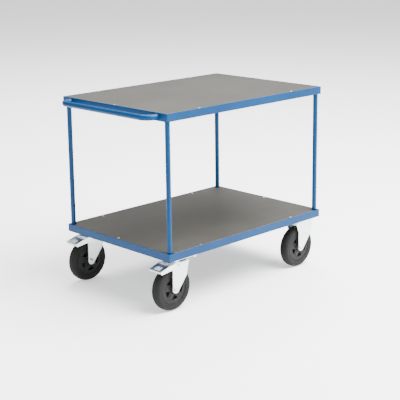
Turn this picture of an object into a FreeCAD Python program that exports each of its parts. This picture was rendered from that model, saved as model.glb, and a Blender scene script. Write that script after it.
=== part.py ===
import FreeCAD, Part
import math
import os

# A two-deck platform trolley: steel rails and posts, two inset boards, a push handle,
# two braked swivel casters at the handle end and two fixed casters at the other end.
# Millimetres, +Z up. +X points forward, away from the handle, and +Y to the left of a
# person who pushes. Everything is drawn about the middle of the decks and moved at export,
# so that the origin is on the floor under the middle of the whole trolley's outline.

# ---- Decks ----
deck_length = 1000.0
deck_width = 700.0
shelf_spacing = 605.0        # from one deck's top edge to the other's

# ---- T-section rails, with the board lying on the ledge ----
rail_height = 35.0
rail_wall = 4.0
ledge_width = 40.0           # from the rail's outer face
ledge_thickness = 4.0
board_thickness = 15.0
board_recess = 0.5           # board top below the rail's top edge
board_gap = 2.0              # between the board's edge and the rail's wall

# ---- Posts ----
post_diameter = 22.0
post_wall = 2.0
post_inset = 19.0            # post axis from the outer faces
notch_gap = 4.0              # between a post and the board's corner notch

# ---- Cross members ----
stiffener_width = 30.0       # angle under the upper board
stiffener_depth = 15.0
stiffener_wall = 3.0
channel_margin = 10.0        # caster channel beyond the caster plate, each end
channel_wall = 3.0
channel_end_gap = 0.5        # between the channel's ends and the rail walls

# ---- Push handle ----
handle_diameter = 25.0
handle_wall = 2.0
handle_reach = 70.0          # from the rail's face to the bar's outer side
handle_inset = 60.0          # leg axis from the deck's long sides
handle_bend_radius = 45.0
handle_drop = 5.0            # tube top below the rail's top edge

# ---- Board screws, countersunk ----
screw_head_radius = 6.0
screw_head_depth = 3.2
screw_radius = 2.5
screw_gap = 0.2              # around the shank in the board and the ledge
screw_point = 3.0            # shank below the ledge
screw_inset = 14.0           # screw axis from the outer face
screw_from_end = 200.0       # side screws from the deck's ends

# ---- Wheels ----
wheel_diameter = 200.0
tyre_width = 46.0
tyre_depth = 32.0            # from the tread to the hub
tyre_shoulder = 10.0         # height of the rounded shoulder
tread_flat = 10.0            # width of the flat middle of the tread
hub_rim_width = 40.0
hub_barrel_radius = 24.0
hub_end_gap = 0.5            # between the hub's ends and the fork
pocket_count = 5
pocket_first_angle = -14.0   # degrees above straight ahead
pocket_inner_radius = 27.0
pocket_outer_radius = 48.0
pocket_half_angle = 21.0     # degrees, at the pocket's outer edge
pocket_depth = 12.0
axle_radius = 6.0
axle_gap = 0.1               # around the axle in the sleeve and the fork
sleeve_radius = 10.0
roller_radius = 2.4
roller_gap = 0.1             # rollers to the sleeve and to the hub's bore
roller_count = 12
roller_length = 40.0
cage_width = 3.0

# ---- Forks ----
fork_side_gap = 7.0          # between the tyre and a fork leg
fork_plate = 4.0
crown_plate = 5.0
crown_clearance = 16.0       # between the tyre and the crown
fork_bend_radius = 8.0       # outside of the bend between crown and leg
leg_end_radius = 18.0        # round end about the axle
leg_reach = 82.0             # leg's front edge ahead of the axle, at the crown
leg_waist = 67.0             # the same, at the waist
waist_rise = 50.0            # waist above the axle

# ---- Swivel head ----
plate_length = 140.0
plate_edge = 10.0            # from the bolt holes to the plate's long edges
plate_thickness = 4.0
plate_corner_radius = 10.0
bolt_spacing_x = 105.0
bolt_leg_gap = 1.2           # between a bolt head and a fixed fork's leg
bolt_hole_radius = 5.5
race_depth = 5.0             # pressed race ring under the plate
race_outer_radius = 37.0
race_inner_radius = 19.0
race_gap = 10.0              # between the race ring and the crown
ball_clearance = 0.1         # over and under each ball
ball_circle_radius = 27.0
ball_count = 16
kingpin_radius = 7.0
kingpin_gap = 0.06           # running fit in the crown
kingpin_washer_radius = 16.0
kingpin_washer_thickness = 2.5
kingpin_washer_gap = 0.3
kingpin_nut_radius = 12.0
kingpin_nut_height = 9.0
trail = 46.0                 # axle behind the swivel axis
swivel_from_end = 106.0      # swivel axis from the deck's end
rail_bolt_gap = 1.0          # between a bolt's washer and the rail wall

# ---- Fixed casters ----
fixed_from_end = 88.0        # plate centre from the deck's end
fixed_axle_offset = 17.0     # axle behind the plate centre
flare_reach = 42.0           # leg's rear edge behind the axle, at the plate
flare_rise = 78.0            # start of the flare above the axle
front_edge_rise = 66.0       # end of the leg's straight front edge above the axle
waist_step = 10.0            # from that edge in to the waist

# ---- Brakes, given from the axle and down from the crown's top ----
lever_plate = 3.0
lever_side_gap = 0.4         # between a fork leg and the lever's cheek
pivot_ahead = 14.0
pivot_drop = 14.0
pivot_boss_radius = 13.0
knee_behind = 41.0
knee_drop = 7.0
knee_under_drop = 30.0
tip_behind = 96.0
tip_drop = 23.0
tip_under_behind = 84.0
tip_under_drop = 36.0
web_start_gap = 4.0          # between the fork leg and the lever's web
tread_start = 59.0           # raised tread, behind the axle
tread_end = 83.0
tread_width = 32.0
tread_height = 1.5
brake_pin_radius = 4.0
brake_pin_gap = 0.06         # running fit in the lever
brake_pin_head_radius = 7.0
brake_pin_head = 2.5
brake_travel = 10.0          # degrees from released to locked
shoe_gap = 0.8               # between the shoe and the tyre when locked
shoe_angles = (110.0, 128.0)  # on the wheel, from straight ahead
shoe_width = 36.0

# ---- M10 and M12 fasteners ----
bolt_radius = 5.0
bolt_hex_radius = 9.8        # corner radius of head and nut
bolt_head_height = 6.4
bolt_nut_height = 8.0
bolt_washer_radius = 10.0
bolt_washer_thickness = 2.0
bolt_end = 2.0               # thread beyond the nut
axle_hex_radius = 10.4
axle_head_height = 7.5
axle_nut_height = 10.0
axle_end = 3.0

# ---- Heights ----
wheel_radius = wheel_diameter / 2
crown_bottom = wheel_diameter + crown_clearance
crown_top = crown_bottom + crown_plate
race_bottom = crown_top + race_gap
plate_bottom = race_bottom + race_depth
caster_height = plate_bottom + plate_thickness
lower_top = caster_height + rail_height
upper_top = lower_top + shelf_spacing
ledge_drop = board_recess + board_thickness       # ledge top below the rail's top edge

# ---- Plan positions ----
half_length = deck_length / 2
half_width = deck_width / 2
deck_shift = handle_reach / 2                     # deck centre ahead of the origin
swivel_x = -half_length + swivel_from_end
swivel_axle_x = swivel_x - trail
fixed_x = half_length - fixed_from_end
fixed_axle_x = fixed_x - fixed_axle_offset
sides = {"left": 1, "right": -1}
ends = {"front": 1, "rear": -1}

# ---- Widths across a caster ----
fork_inner = tyre_width / 2 + fork_side_gap       # half the gap between the legs
fork_outer = fork_inner + fork_plate
cheek_inner = fork_outer + lever_side_gap
cheek_outer = cheek_inner + lever_plate
bolt_spacing_y = 2 * (fork_outer + bolt_leg_gap + bolt_hex_radius)
plate_width = bolt_spacing_y + 2 * plate_edge
caster_y = half_width - rail_wall - rail_bolt_gap - bolt_washer_radius - bolt_spacing_y / 2
hub_radius = wheel_radius - tyre_depth
hub_bore_radius = sleeve_radius + 2 * (roller_radius + roller_gap)
far = 400.0                                       # longer than any cutting tool needs to be

X_AXIS = FreeCAD.Vector(1, 0, 0)
Y_AXIS = FreeCAD.Vector(0, 1, 0)
Z_AXIS = FreeCAD.Vector(0, 0, 1)


def point(x, y, z):
    return FreeCAD.Vector(x, y, z)


def box(low, high):
    """A box between two opposite corners."""
    size = [b - a for a, b in zip(low, high)]
    return Part.makeBox(*size, point(*low))


def rod(radius, start, end):
    """A round bar between two points."""
    along = point(*end) - point(*start)
    return Part.makeCylinder(radius, along.Length, point(*start), along)


def side_plate(outline, half_thickness):
    """A plate in the XZ plane, centred on y = 0, from its (x, z) corners."""
    corners = [point(x, -half_thickness, z) for x, z in outline]
    face = Part.Face(Part.makePolygon(corners + corners[:1]))
    return face.extrude(point(0, 2 * half_thickness, 0))


def plan_plate(outline, bottom, top):
    """A plate in the XY plane, from its (x, y) corners."""
    corners = [point(x, y, bottom) for x, y in outline]
    face = Part.Face(Part.makePolygon(corners + corners[:1]))
    return face.extrude(point(0, 0, top - bottom))


def hexagon(radius, start, end):
    """A hexagonal bar between two points on its axis."""
    along = point(*end) - point(*start)
    across = X_AXIS.cross(along)
    across.normalize()
    turn = FreeCAD.Rotation(along, 60)
    arm = across * radius
    corners = []
    for _ in range(6):
        corners.append(point(*start) + arm)
        arm = turn.multVec(arm)
    return Part.Face(Part.makePolygon(corners + corners[:1])).extrude(along)


def group(solids):
    """Separate solids that share one node."""
    return Part.makeCompound(solids)


def turned_about_y(x, z, centre, degrees):
    """Turn an (x, z) point about a centre, positive lifting what is behind it."""
    angle = math.radians(degrees)
    dx = x - centre[0]
    dz = z - centre[1]
    return (centre[0] + dx * math.cos(angle) + dz * math.sin(angle),
            centre[1] - dx * math.sin(angle) + dz * math.cos(angle))


def save(name, shape):
    """Move a shape from the deck's centre to the part's origin and write it."""
    moved = shape.removeSplitter() if shape.ShapeType == "Solid" else shape.copy()
    moved.translate(point(deck_shift, 0, 0))
    moved.exportStep(os.path.join("parts", name + ".step"))


def placed(shape, x, side):
    """Put a caster piece, drawn for the right side about its axle or axis, in its place."""
    put = shape.mirror(point(0, 0, 0), Y_AXIS) if side > 0 else shape.copy()
    put.translate(point(x, side * caster_y, 0))
    return put


# ---- Frame ----

def mitred_rail(top, length, width):
    """A T-section rail along X on the right side of a frame, with mitred ends."""
    wall = box((-length / 2, -width / 2, top - rail_height),
               (length / 2, -width / 2 + rail_wall, top))
    ledge = box((-length / 2, -width / 2 + rail_wall, top - ledge_drop - ledge_thickness),
                (length / 2, -width / 2 + ledge_width, top - ledge_drop))
    inner = length / 2 - ledge_width
    mitre = plan_plate([(-length / 2, -width / 2), (length / 2, -width / 2),
                        (inner, -width / 2 + ledge_width), (-inner, -width / 2 + ledge_width)],
                       top - rail_height, top)
    return wall.fuse(ledge).common(mitre)


def screw_places():
    """Plan positions of the screws that hold one board."""
    x_side = half_length - screw_from_end
    y_side = half_width - screw_inset
    places = [(x, y) for x in (-x_side, x_side) for y in (-y_side, y_side)]
    return places + [(-half_length + screw_inset, 0), (half_length - screw_inset, 0)]


def screw_holes(top):
    """Tools that clear the screw shanks through a board and its ledge."""
    return group([rod(screw_radius + screw_gap, (x, y, top - rail_height), (x, y, top))
                  for x, y in screw_places()])


def board_screws(top):
    """The countersunk screws of one board, with heads level with the board."""
    head_top = top - board_recess
    shank_end = top - ledge_drop - ledge_thickness - screw_point
    screws = []
    for x, y in screw_places():
        head = Part.makeCone(screw_radius, screw_head_radius, screw_head_depth,
                             point(x, y, head_top - screw_head_depth), Z_AXIS)
        shank = rod(screw_radius, (x, y, shank_end), (x, y, head_top - screw_head_depth))
        screws.append(head.fuse(shank).removeSplitter())
    return group(screws)


def make_rails(deck, top):
    """The four rails of one deck frame."""
    holes = screw_holes(top)
    long_rail = mitred_rail(top, deck_length, deck_width)
    short_rail = mitred_rail(top, deck_width, deck_length)
    turns = {"right": (long_rail, 0), "left": (long_rail, 180),
             "front": (short_rail, 90), "rear": (short_rail, -90)}
    for side, (rail, degrees) in turns.items():
        turned = rail.copy()
        turned.rotate(point(0, 0, 0), Z_AXIS, degrees)
        save(f"{deck}_rail_{side}", turned.cut(holes).Solids[0])


def make_board(deck, top, notched):
    """One deck board with its screw holes, and corner notches where posts pass."""
    margin = rail_wall + board_gap
    head_top = top - board_recess
    x_edge = half_length - margin
    y_edge = half_width - margin
    board = box((-x_edge, -y_edge, head_top - board_thickness), (x_edge, y_edge, head_top))
    if notched:
        notch = post_inset + post_diameter / 2 + notch_gap
        for x in (-1, 1):
            for y in (-1, 1):
                low = (min(x * half_length, x * (half_length - notch)),
                       min(y * half_width, y * (half_width - notch)), top - rail_height)
                high = (low[0] + notch, low[1] + notch, top)
                board = board.cut(box(low, high))
    board = board.cut(screw_holes(top))
    for x, y in screw_places():
        sink = Part.makeCone(screw_radius, screw_head_radius, screw_head_depth,
                             point(x, y, head_top - screw_head_depth), Z_AXIS)
        board = board.cut(sink)
    save(f"{deck}_board", board.Solids[0])
    save(f"{deck}_board_screws", board_screws(top))


def make_posts():
    """Four round tubes from the lower ledges to the upper ledges."""
    bottom = lower_top - ledge_drop
    top = upper_top - ledge_drop - ledge_thickness
    for end, x_sign in ends.items():
        for side, y_sign in sides.items():
            x = x_sign * (half_length - post_inset)
            y = y_sign * (half_width - post_inset)
            tube = rod(post_diameter / 2, (x, y, bottom), (x, y, top))
            bore = rod(post_diameter / 2 - post_wall, (x, y, bottom), (x, y, top))
            save(f"post_{end}_{side}", tube.cut(bore))


def handle_path(x_face, x_bar, y_leg, z):
    """The handle's centre line: leg, bend, bar, bend, leg."""
    bend = handle_bend_radius
    middle = bend * (1 - math.sqrt(0.5))
    edges = []
    arc_ends = {}
    for side in (-1, 1):
        leg_end = point(x_bar + bend, side * y_leg, z)
        bar_end = point(x_bar, side * (y_leg - bend), z)
        through = point(x_bar + middle, side * (y_leg - middle), z)
        arc_ends[side] = (point(x_face, side * y_leg, z), leg_end, through, bar_end)
    start, leg_end, through, bar_end = arc_ends[-1]
    edges.append(Part.LineSegment(start, leg_end).toShape())
    edges.append(Part.Arc(leg_end, through, bar_end).toShape())
    start_left, leg_end_left, through_left, bar_end_left = arc_ends[1]
    edges.append(Part.LineSegment(bar_end, bar_end_left).toShape())
    edges.append(Part.Arc(bar_end_left, through_left, leg_end_left).toShape())
    edges.append(Part.LineSegment(leg_end_left, start_left).toShape())
    return Part.Wire(edges)


def make_handle():
    """The bent tube welded to the rear rail of the upper frame."""
    z = upper_top - handle_drop - handle_diameter / 2
    x_bar = -half_length - handle_reach + handle_diameter / 2
    path = handle_path(-half_length, x_bar, half_width - handle_inset, z)
    start = path.OrderedVertexes[0].Point
    pipes = []
    for radius in (handle_diameter / 2, handle_diameter / 2 - handle_wall):
        ring = Part.Wire(Part.makeCircle(radius, start, X_AXIS))
        pipes.append(path.makePipeShell([ring], True, False))
    save("push_handle", pipes[0].cut(pipes[1]))


def make_stiffener():
    """The angle that carries the middle of the upper board."""
    inner = half_width - ledge_width
    top = upper_top - ledge_drop
    flat = box((-stiffener_width / 2, -inner, top - stiffener_wall), (stiffener_width / 2, inner, top))
    web = box((-stiffener_wall / 2, -inner, top - stiffener_depth),
              (stiffener_wall / 2, inner, top - stiffener_wall))
    save("upper_stiffener", flat.fuse(web))


def plate_bolt_places(x_centre):
    """Plan positions of one caster's four bolts about y = 0."""
    return [(x_centre + sx * bolt_spacing_x / 2, sy * bolt_spacing_y / 2)
            for sx in (-1, 1) for sy in (-1, 1)]


def make_channels():
    """Folded channels across the lower frame, which the caster plates bolt to."""
    top = lower_top - ledge_drop - ledge_thickness
    y_end = half_width - rail_wall - channel_end_gap
    reach = plate_length / 2 + channel_margin
    for end, x_centre in (("rear", swivel_x), ("front", fixed_x)):
        outer = box((x_centre - reach, -y_end, caster_height), (x_centre + reach, y_end, top))
        inner = box((x_centre - reach + channel_wall, -y_end, caster_height + channel_wall),
                    (x_centre + reach - channel_wall, y_end, top))
        channel = outer.cut(inner)
        for y_sign in sides.values():
            for x, y in plate_bolt_places(x_centre):
                y_hole = y + y_sign * caster_y
                channel = channel.cut(rod(bolt_hole_radius, (x, y_hole, caster_height),
                                          (x, y_hole, top)))
        save(f"caster_channel_{end}", channel)


def make_caster_bolts():
    """Four bolts, washers and nuts for each caster."""
    nut_bottom = caster_height + channel_wall + bolt_washer_thickness
    nut_top = nut_bottom + bolt_nut_height
    for end, x_centre in (("rear", swivel_x), ("front", fixed_x)):
        solids = []
        for x, y in plate_bolt_places(0):
            head = hexagon(bolt_hex_radius, (x, y, plate_bottom - bolt_head_height), (x, y, plate_bottom))
            shank = rod(bolt_radius, (x, y, plate_bottom), (x, y, nut_top + bolt_end))
            bore = rod(bolt_radius, (x, y, plate_bottom), (x, y, nut_top))
            washer = rod(bolt_washer_radius, (x, y, nut_bottom - bolt_washer_thickness), (x, y, nut_bottom))
            nut = hexagon(bolt_hex_radius, (x, y, nut_bottom), (x, y, nut_top))
            solids += [head.fuse(shank), washer.cut(bore), nut.cut(bore)]
        for side, y_sign in sides.items():
            save(f"caster_bolts_{end}_{side}", placed(group(solids), x_centre, y_sign))


# ---- Wheels ----

def tyre():
    """A solid tyre about the Y axis at the axle's height, crowned towards the tread."""
    edge = tyre_width / 2
    flat = tread_flat / 2
    reach = edge - flat
    round_radius = (reach ** 2 + tyre_shoulder ** 2) / (2 * tyre_shoulder)
    half_turn = math.asin(reach / round_radius) / 2
    bulge = (flat + round_radius * math.sin(half_turn),
             wheel_radius - round_radius * (1 - math.cos(half_turn)))
    tread = point(0, flat, wheel_radius)
    shoulder = point(0, edge, wheel_radius - tyre_shoulder)
    mirrored = [point(0, -p.y, p.z) for p in (shoulder, tread)]
    profile = Part.Wire([
        Part.LineSegment(point(0, -edge, hub_radius), point(0, edge, hub_radius)).toShape(),
        Part.LineSegment(point(0, edge, hub_radius), shoulder).toShape(),
        Part.Arc(shoulder, point(0, bulge[0], bulge[1]), tread).toShape(),
        Part.LineSegment(tread, mirrored[1]).toShape(),
        Part.Arc(mirrored[1], point(0, -bulge[0], bulge[1]), mirrored[0]).toShape(),
        Part.LineSegment(mirrored[0], point(0, -edge, hub_radius)).toShape()])
    ring = Part.Face(profile).revolve(point(0, 0, 0), Y_AXIS, 360)
    ring.translate(point(0, 0, wheel_radius))
    return ring


def hub_pocket(angle, side):
    """A tool for one three-sided pocket in a hub face."""
    face = side * hub_rim_width / 2
    floor = face - side * pocket_depth
    tip = (pocket_inner_radius * math.cos(angle), pocket_inner_radius * math.sin(angle))
    half = math.radians(pocket_half_angle)
    wide = [(pocket_outer_radius * math.cos(a), pocket_outer_radius * math.sin(a))
            for a in (angle - half, angle + half)]
    corners = [point(x, floor, z + wheel_radius) for x, z in [tip] + wide]
    triangle = Part.Face(Part.makePolygon(corners + corners[:1]))
    return triangle.extrude(point(0, face - floor, 0))


def hub():
    """A moulded wheel centre with a ring of pockets on each face."""
    def bar(radius, half):
        return rod(radius, (0, -half, wheel_radius), (0, half, wheel_radius))

    shape = bar(hub_radius, hub_rim_width / 2)
    shape = shape.fuse(bar(hub_barrel_radius, fork_inner - hub_end_gap))
    shape = shape.cut(bar(hub_bore_radius, fork_inner))
    for number in range(pocket_count):
        angle = math.radians(pocket_first_angle + 360 * number / pocket_count)
        for side in (-1, 1):
            shape = shape.cut(hub_pocket(angle, side))
    return shape


def roller_bearing():
    """Loose rollers between the sleeve and the hub, and a guide ring at each end."""
    circle = sleeve_radius + roller_gap + roller_radius
    half = roller_length / 2
    solids = []
    for number in range(roller_count):
        angle = 2 * math.pi * number / roller_count
        x = circle * math.cos(angle)
        z = wheel_radius + circle * math.sin(angle)
        solids.append(rod(roller_radius, (x, -half, z), (x, half, z)))
    for side in (-1, 1):
        near = side * half
        away = side * (half + cage_width)
        ring = rod(hub_bore_radius, (0, near, wheel_radius), (0, away, wheel_radius))
        hole = rod(sleeve_radius + roller_gap, (0, near, wheel_radius), (0, away, wheel_radius))
        solids.append(ring.cut(hole))
    return group(solids)


def axle_bolt():
    """The bolt and nut that clamp the fork's legs on the sleeve, head outwards."""
    head = hexagon(axle_hex_radius, (0, -fork_outer - axle_head_height, wheel_radius),
                   (0, -fork_outer, wheel_radius))
    nut_end = fork_outer + axle_nut_height
    shank = rod(axle_radius, (0, -fork_outer, wheel_radius), (0, nut_end + axle_end, wheel_radius))
    nut = hexagon(axle_hex_radius, (0, fork_outer, wheel_radius), (0, nut_end, wheel_radius))
    return group([head.fuse(shank), nut.cut(shank)])


def axle_sleeve():
    """The steel tube between the legs that the rollers run on."""
    tube = rod(sleeve_radius, (0, -fork_inner, wheel_radius), (0, fork_inner, wheel_radius))
    return tube.cut(rod(axle_radius + axle_gap, (0, -fork_inner, wheel_radius),
                        (0, fork_inner, wheel_radius)))


def make_wheel(where, x, side):
    """Tyre, hub, bearing, sleeve and axle of one caster."""
    pieces = {"tyre": tyre(), "hub": hub(), "roller_bearing": roller_bearing(),
              "axle_bolt": axle_bolt(), "axle_sleeve": axle_sleeve()}
    for name, shape in pieces.items():
        save(f"{name}_{where}", placed(shape, x, side))


# ---- Forks ----

def folded_strip(top):
    """A U-shaped strip, open downwards, with rounded bends along X."""
    outer = box((-far, -fork_outer, -far), (far, fork_outer, top))
    inner = box((-far, -fork_inner, -far), (far, fork_inner, top - crown_plate))
    inner_bend = fork_bend_radius - fork_plate
    folded = []
    for block, radius, height in ((outer, fork_bend_radius, top), (inner, inner_bend, top - crown_plate)):
        bends = [edge for edge in block.Edges
                 if abs(edge.CenterOfMass.z - height) < 0.01 and abs(edge.CenterOfMass.x) < 0.01]
        folded.append(block.makeFillet(radius, bends))
    return folded[0].cut(folded[1])


def lower_tangent(x, z):
    """Where a line from an (x, z) point touches the front of the leg's round end."""
    dz = z - wheel_radius
    turn = math.atan2(dz, x) - math.acos(leg_end_radius / math.hypot(x, dz))
    return (leg_end_radius * math.cos(turn), wheel_radius + leg_end_radius * math.sin(turn))


def fork_legs(upper_outline, waist, top):
    """A folded fork cut to its side outline, with a round end at the axle."""
    outline = upper_outline + [waist, lower_tangent(*waist), (0, wheel_radius),
                               (-leg_end_radius, wheel_radius)]
    blank = side_plate(outline, far)
    round_end = rod(leg_end_radius, (0, -far, wheel_radius), (0, far, wheel_radius))
    legs = folded_strip(top).common(blank.fuse(round_end))
    return legs.cut(rod(axle_radius + axle_gap, (0, -far, wheel_radius), (0, far, wheel_radius)))


def caster_plate(x_centre):
    """A flat plate with rounded corners and four bolt holes."""
    plate = box((x_centre - plate_length / 2, -plate_width / 2, plate_bottom),
                (x_centre + plate_length / 2, plate_width / 2, caster_height))
    corners = [edge for edge in plate.Edges if abs(edge.tangentAt(edge.FirstParameter).z) > 0.5]
    plate = plate.makeFillet(plate_corner_radius, corners)
    for x, y in plate_bolt_places(x_centre):
        plate = plate.cut(rod(bolt_hole_radius, (x, y, plate_bottom), (x, y, caster_height)))
    return plate


def swivel_fork():
    """The turning fork, drawn about its axle."""
    outline = [(-leg_end_radius, crown_top), (leg_reach, crown_top)]
    fork = fork_legs(outline, (leg_waist, wheel_radius + waist_rise), crown_top)
    fork = fork.cut(rod(kingpin_radius + kingpin_gap, (trail, 0, crown_bottom), (trail, 0, crown_top)))
    pivot_z = crown_top - pivot_drop
    return fork.cut(rod(brake_pin_radius, (pivot_ahead, -far, pivot_z), (pivot_ahead, far, pivot_z)))


def swivel_plate():
    """The top plate with its pressed race ring, drawn about the swivel axis."""
    ring = rod(race_outer_radius, (0, 0, race_bottom), (0, 0, plate_bottom))
    ring = ring.cut(rod(race_inner_radius, (0, 0, race_bottom), (0, 0, plate_bottom)))
    plate = caster_plate(0).fuse(ring)
    return plate.cut(rod(kingpin_radius, (0, 0, plate_bottom), (0, 0, caster_height)))


def kingpin():
    """The pin riveted into the plate, with the washer and nut that hold the crown."""
    washer_top = crown_bottom - kingpin_washer_gap
    nut_top = washer_top - kingpin_washer_thickness
    nut_bottom = nut_top - kingpin_nut_height
    pin = rod(kingpin_radius, (0, 0, nut_bottom), (0, 0, caster_height))
    washer = rod(kingpin_washer_radius, (0, 0, nut_top), (0, 0, washer_top))
    nut = hexagon(kingpin_nut_radius, (0, 0, nut_bottom), (0, 0, nut_top))
    return group([pin, washer.cut(pin), nut.cut(pin)])


def swivel_balls():
    """The ring of balls between the plate and the crown."""
    radius = race_gap / 2 - ball_clearance
    z = crown_top + race_gap / 2
    balls = []
    for number in range(ball_count):
        angle = 2 * math.pi * number / ball_count
        centre = point(ball_circle_radius * math.cos(angle), ball_circle_radius * math.sin(angle), z)
        balls.append(Part.makeSphere(radius, centre))
    return group(balls)


def fixed_fork():
    """The fork that doesn't turn, welded to its plate, drawn about its axle."""
    outline = [(-leg_end_radius, wheel_radius + flare_rise), (-flare_reach, plate_bottom),
               (leg_reach, plate_bottom), (leg_reach, wheel_radius + front_edge_rise)]
    waist = (leg_reach - waist_step, wheel_radius + front_edge_rise - waist_step)
    legs = fork_legs(outline, waist, plate_bottom)
    return legs.fuse(caster_plate(fixed_axle_offset))


# ---- Brakes ----

def lever_top(x_behind):
    """Height of the lever's top surface at a distance behind the axle."""
    if x_behind <= knee_behind:
        start, start_drop, end, end_drop = -pivot_ahead, pivot_drop - pivot_boss_radius, knee_behind, knee_drop
    else:
        start, start_drop, end, end_drop = knee_behind, knee_drop, tip_behind, tip_drop
    share = (x_behind - start) / (end - start)
    return crown_top - start_drop - share * (end_drop - start_drop)


def brake_lever():
    """The pedal: two cheeks, a web between them, a lip at the tip and a raised tread."""
    pivot_z = crown_top - pivot_drop
    cheek = side_plate([(pivot_ahead, pivot_z + pivot_boss_radius), (-knee_behind, lever_top(knee_behind)),
                        (-tip_behind, lever_top(tip_behind)),
                        (-tip_under_behind, crown_top - tip_under_drop),
                        (-knee_behind, crown_top - knee_under_drop),
                        (pivot_ahead, pivot_z - pivot_boss_radius)], cheek_outer)
    boss = rod(pivot_boss_radius, (pivot_ahead, -cheek_outer, pivot_z), (pivot_ahead, cheek_outer, pivot_z))
    web_start = leg_end_radius + web_start_gap
    lip_top = tip_behind - lever_plate
    lip_bottom = tip_under_behind - lever_plate
    hollow = side_plate([(far, far), (-web_start, far), (-web_start, lever_top(web_start) - lever_plate),
                         (-knee_behind, lever_top(knee_behind) - lever_plate),
                         (-lip_top, lever_top(lip_top) - lever_plate),
                         (-lip_bottom, crown_top - tip_under_drop),
                         (-lip_bottom, 0), (far, 0)], cheek_inner)
    lever = cheek.fuse(boss).cut(hollow)
    tread = side_plate([(-tread_start, lever_top(tread_start)), (-tread_end, lever_top(tread_end)),
                        (-tread_end, lever_top(tread_end) + tread_height),
                        (-tread_start, lever_top(tread_start) + tread_height)], tread_width / 2)
    lever = lever.fuse(tread)
    return lever.cut(rod(brake_pin_radius + brake_pin_gap, (pivot_ahead, -far, pivot_z),
                         (pivot_ahead, far, pivot_z)))


def brake_shoe():
    """The block under the lever's web that meets the tyre when the lever is pressed."""
    pivot = (pivot_ahead, crown_top - pivot_drop)
    radius = wheel_radius + shoe_gap
    front, back = shoe_angles
    worn = []
    for degrees in (front, (front + back) / 2, back):
        angle = math.radians(degrees)
        locked = (radius * math.cos(angle), wheel_radius + radius * math.sin(angle))
        worn.append(turned_about_y(*locked, pivot, brake_travel))
    half = shoe_width / 2
    bottom = [point(x, -half, z) for x, z in worn]
    top = [point(bottom[2].x, -half, lever_top(-bottom[2].x) - lever_plate),
           point(-knee_behind, -half, lever_top(knee_behind) - lever_plate),
           point(bottom[0].x, -half, lever_top(-bottom[0].x) - lever_plate)]
    edges = [Part.Arc(*bottom).toShape()]
    for start, end in zip([bottom[2]] + top, top + [bottom[0]]):
        edges.append(Part.LineSegment(start, end).toShape())
    return Part.Face(Part.Wire(edges)).extrude(point(0, shoe_width, 0))


def brake_pin():
    """The headed pin that the lever turns on, held in the fork's legs."""
    z = crown_top - pivot_drop
    pin = rod(brake_pin_radius, (pivot_ahead, -cheek_outer, z), (pivot_ahead, cheek_outer, z))
    for side in (-1, 1):
        pin = pin.fuse(rod(brake_pin_head_radius, (pivot_ahead, side * (cheek_outer + lever_side_gap), z),
                           (pivot_ahead, side * (cheek_outer + lever_side_gap + brake_pin_head), z)))
        pin = pin.fuse(rod(brake_pin_radius, (pivot_ahead, side * cheek_outer, z),
                           (pivot_ahead, side * (cheek_outer + lever_side_gap), z)))
    return pin


def make_casters():
    """Two braked swivel casters at the rear and two fixed casters at the front."""
    for side, y_sign in sides.items():
        about_axis = {"swivel_plate": swivel_plate(), "kingpin": kingpin(), "swivel_balls": swivel_balls()}
        about_axle = {"swivel_fork": swivel_fork(), "brake_lever": brake_lever(),
                      "brake_shoe": brake_shoe(), "brake_pin": brake_pin()}
        for name, shape in about_axis.items():
            save(f"{name}_{side}", placed(shape, swivel_x, y_sign))
        for name, shape in about_axle.items():
            save(f"{name}_{side}", placed(shape, swivel_axle_x, y_sign))
        save(f"fixed_fork_{side}", placed(fixed_fork(), fixed_axle_x, y_sign))
        make_wheel(f"rear_{side}", swivel_axle_x, y_sign)
        make_wheel(f"front_{side}", fixed_axle_x, y_sign)


os.makedirs("parts", exist_ok=True)
for deck_name, deck_top in (("lower", lower_top), ("upper", upper_top)):
    make_rails(deck_name, deck_top)
    make_board(deck_name, deck_top, notched=deck_name == "lower")
make_posts()
make_handle()
make_stiffener()
make_channels()
make_caster_bolts()
make_casters()
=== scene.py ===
"""A two-deck steel trolley with a push handle, two braked swivel casters and two fixed casters.

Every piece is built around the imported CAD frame, in metres, and rides on one of its bodies.
Directions: -X is the handle end, +X the other end, +Y the left of a person who pushes.
"""
import logging
import math
from dataclasses import dataclass
from enum import Enum
from typing import Callable, Iterable, Sequence

import bmesh
import bpy
from mathutils import Matrix, Vector


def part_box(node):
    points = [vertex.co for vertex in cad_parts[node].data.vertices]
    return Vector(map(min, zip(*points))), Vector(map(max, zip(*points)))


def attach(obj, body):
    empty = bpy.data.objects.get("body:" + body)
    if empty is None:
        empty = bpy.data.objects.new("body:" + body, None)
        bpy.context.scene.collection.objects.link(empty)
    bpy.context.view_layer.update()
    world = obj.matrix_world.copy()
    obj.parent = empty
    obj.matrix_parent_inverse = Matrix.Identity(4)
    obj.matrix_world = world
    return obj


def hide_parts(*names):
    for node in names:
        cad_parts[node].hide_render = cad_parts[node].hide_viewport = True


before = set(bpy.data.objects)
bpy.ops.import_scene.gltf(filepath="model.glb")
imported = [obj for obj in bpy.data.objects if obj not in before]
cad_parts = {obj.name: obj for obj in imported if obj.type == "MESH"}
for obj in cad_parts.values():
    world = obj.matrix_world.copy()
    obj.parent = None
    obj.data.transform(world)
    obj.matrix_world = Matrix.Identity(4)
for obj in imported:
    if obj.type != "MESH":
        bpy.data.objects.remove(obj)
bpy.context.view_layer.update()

LOG = logging.getLogger("trolley")
Pair = tuple[float, float]
Outline = list[Pair]
Colour = tuple[float, float, float]
SHARP_ANGLE = math.radians(38.0)
BEVEL_ANGLE = math.radians(32.0)
# Mask of narrow faces, mostly the rounded edges; finishes lighten them, partly as wear and partly as a
# painted edge highlight.
EDGE_WEAR_AND_HIGHLIGHT = "worn_edge"
EDGE_BAND_WIDTH = 0.0009
WASHER_EDGE = 0.0003
FORK_HALF = 0.034
LOCAL = "local"
SIDES = {"left": 1.0, "right": -1.0}


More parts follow.
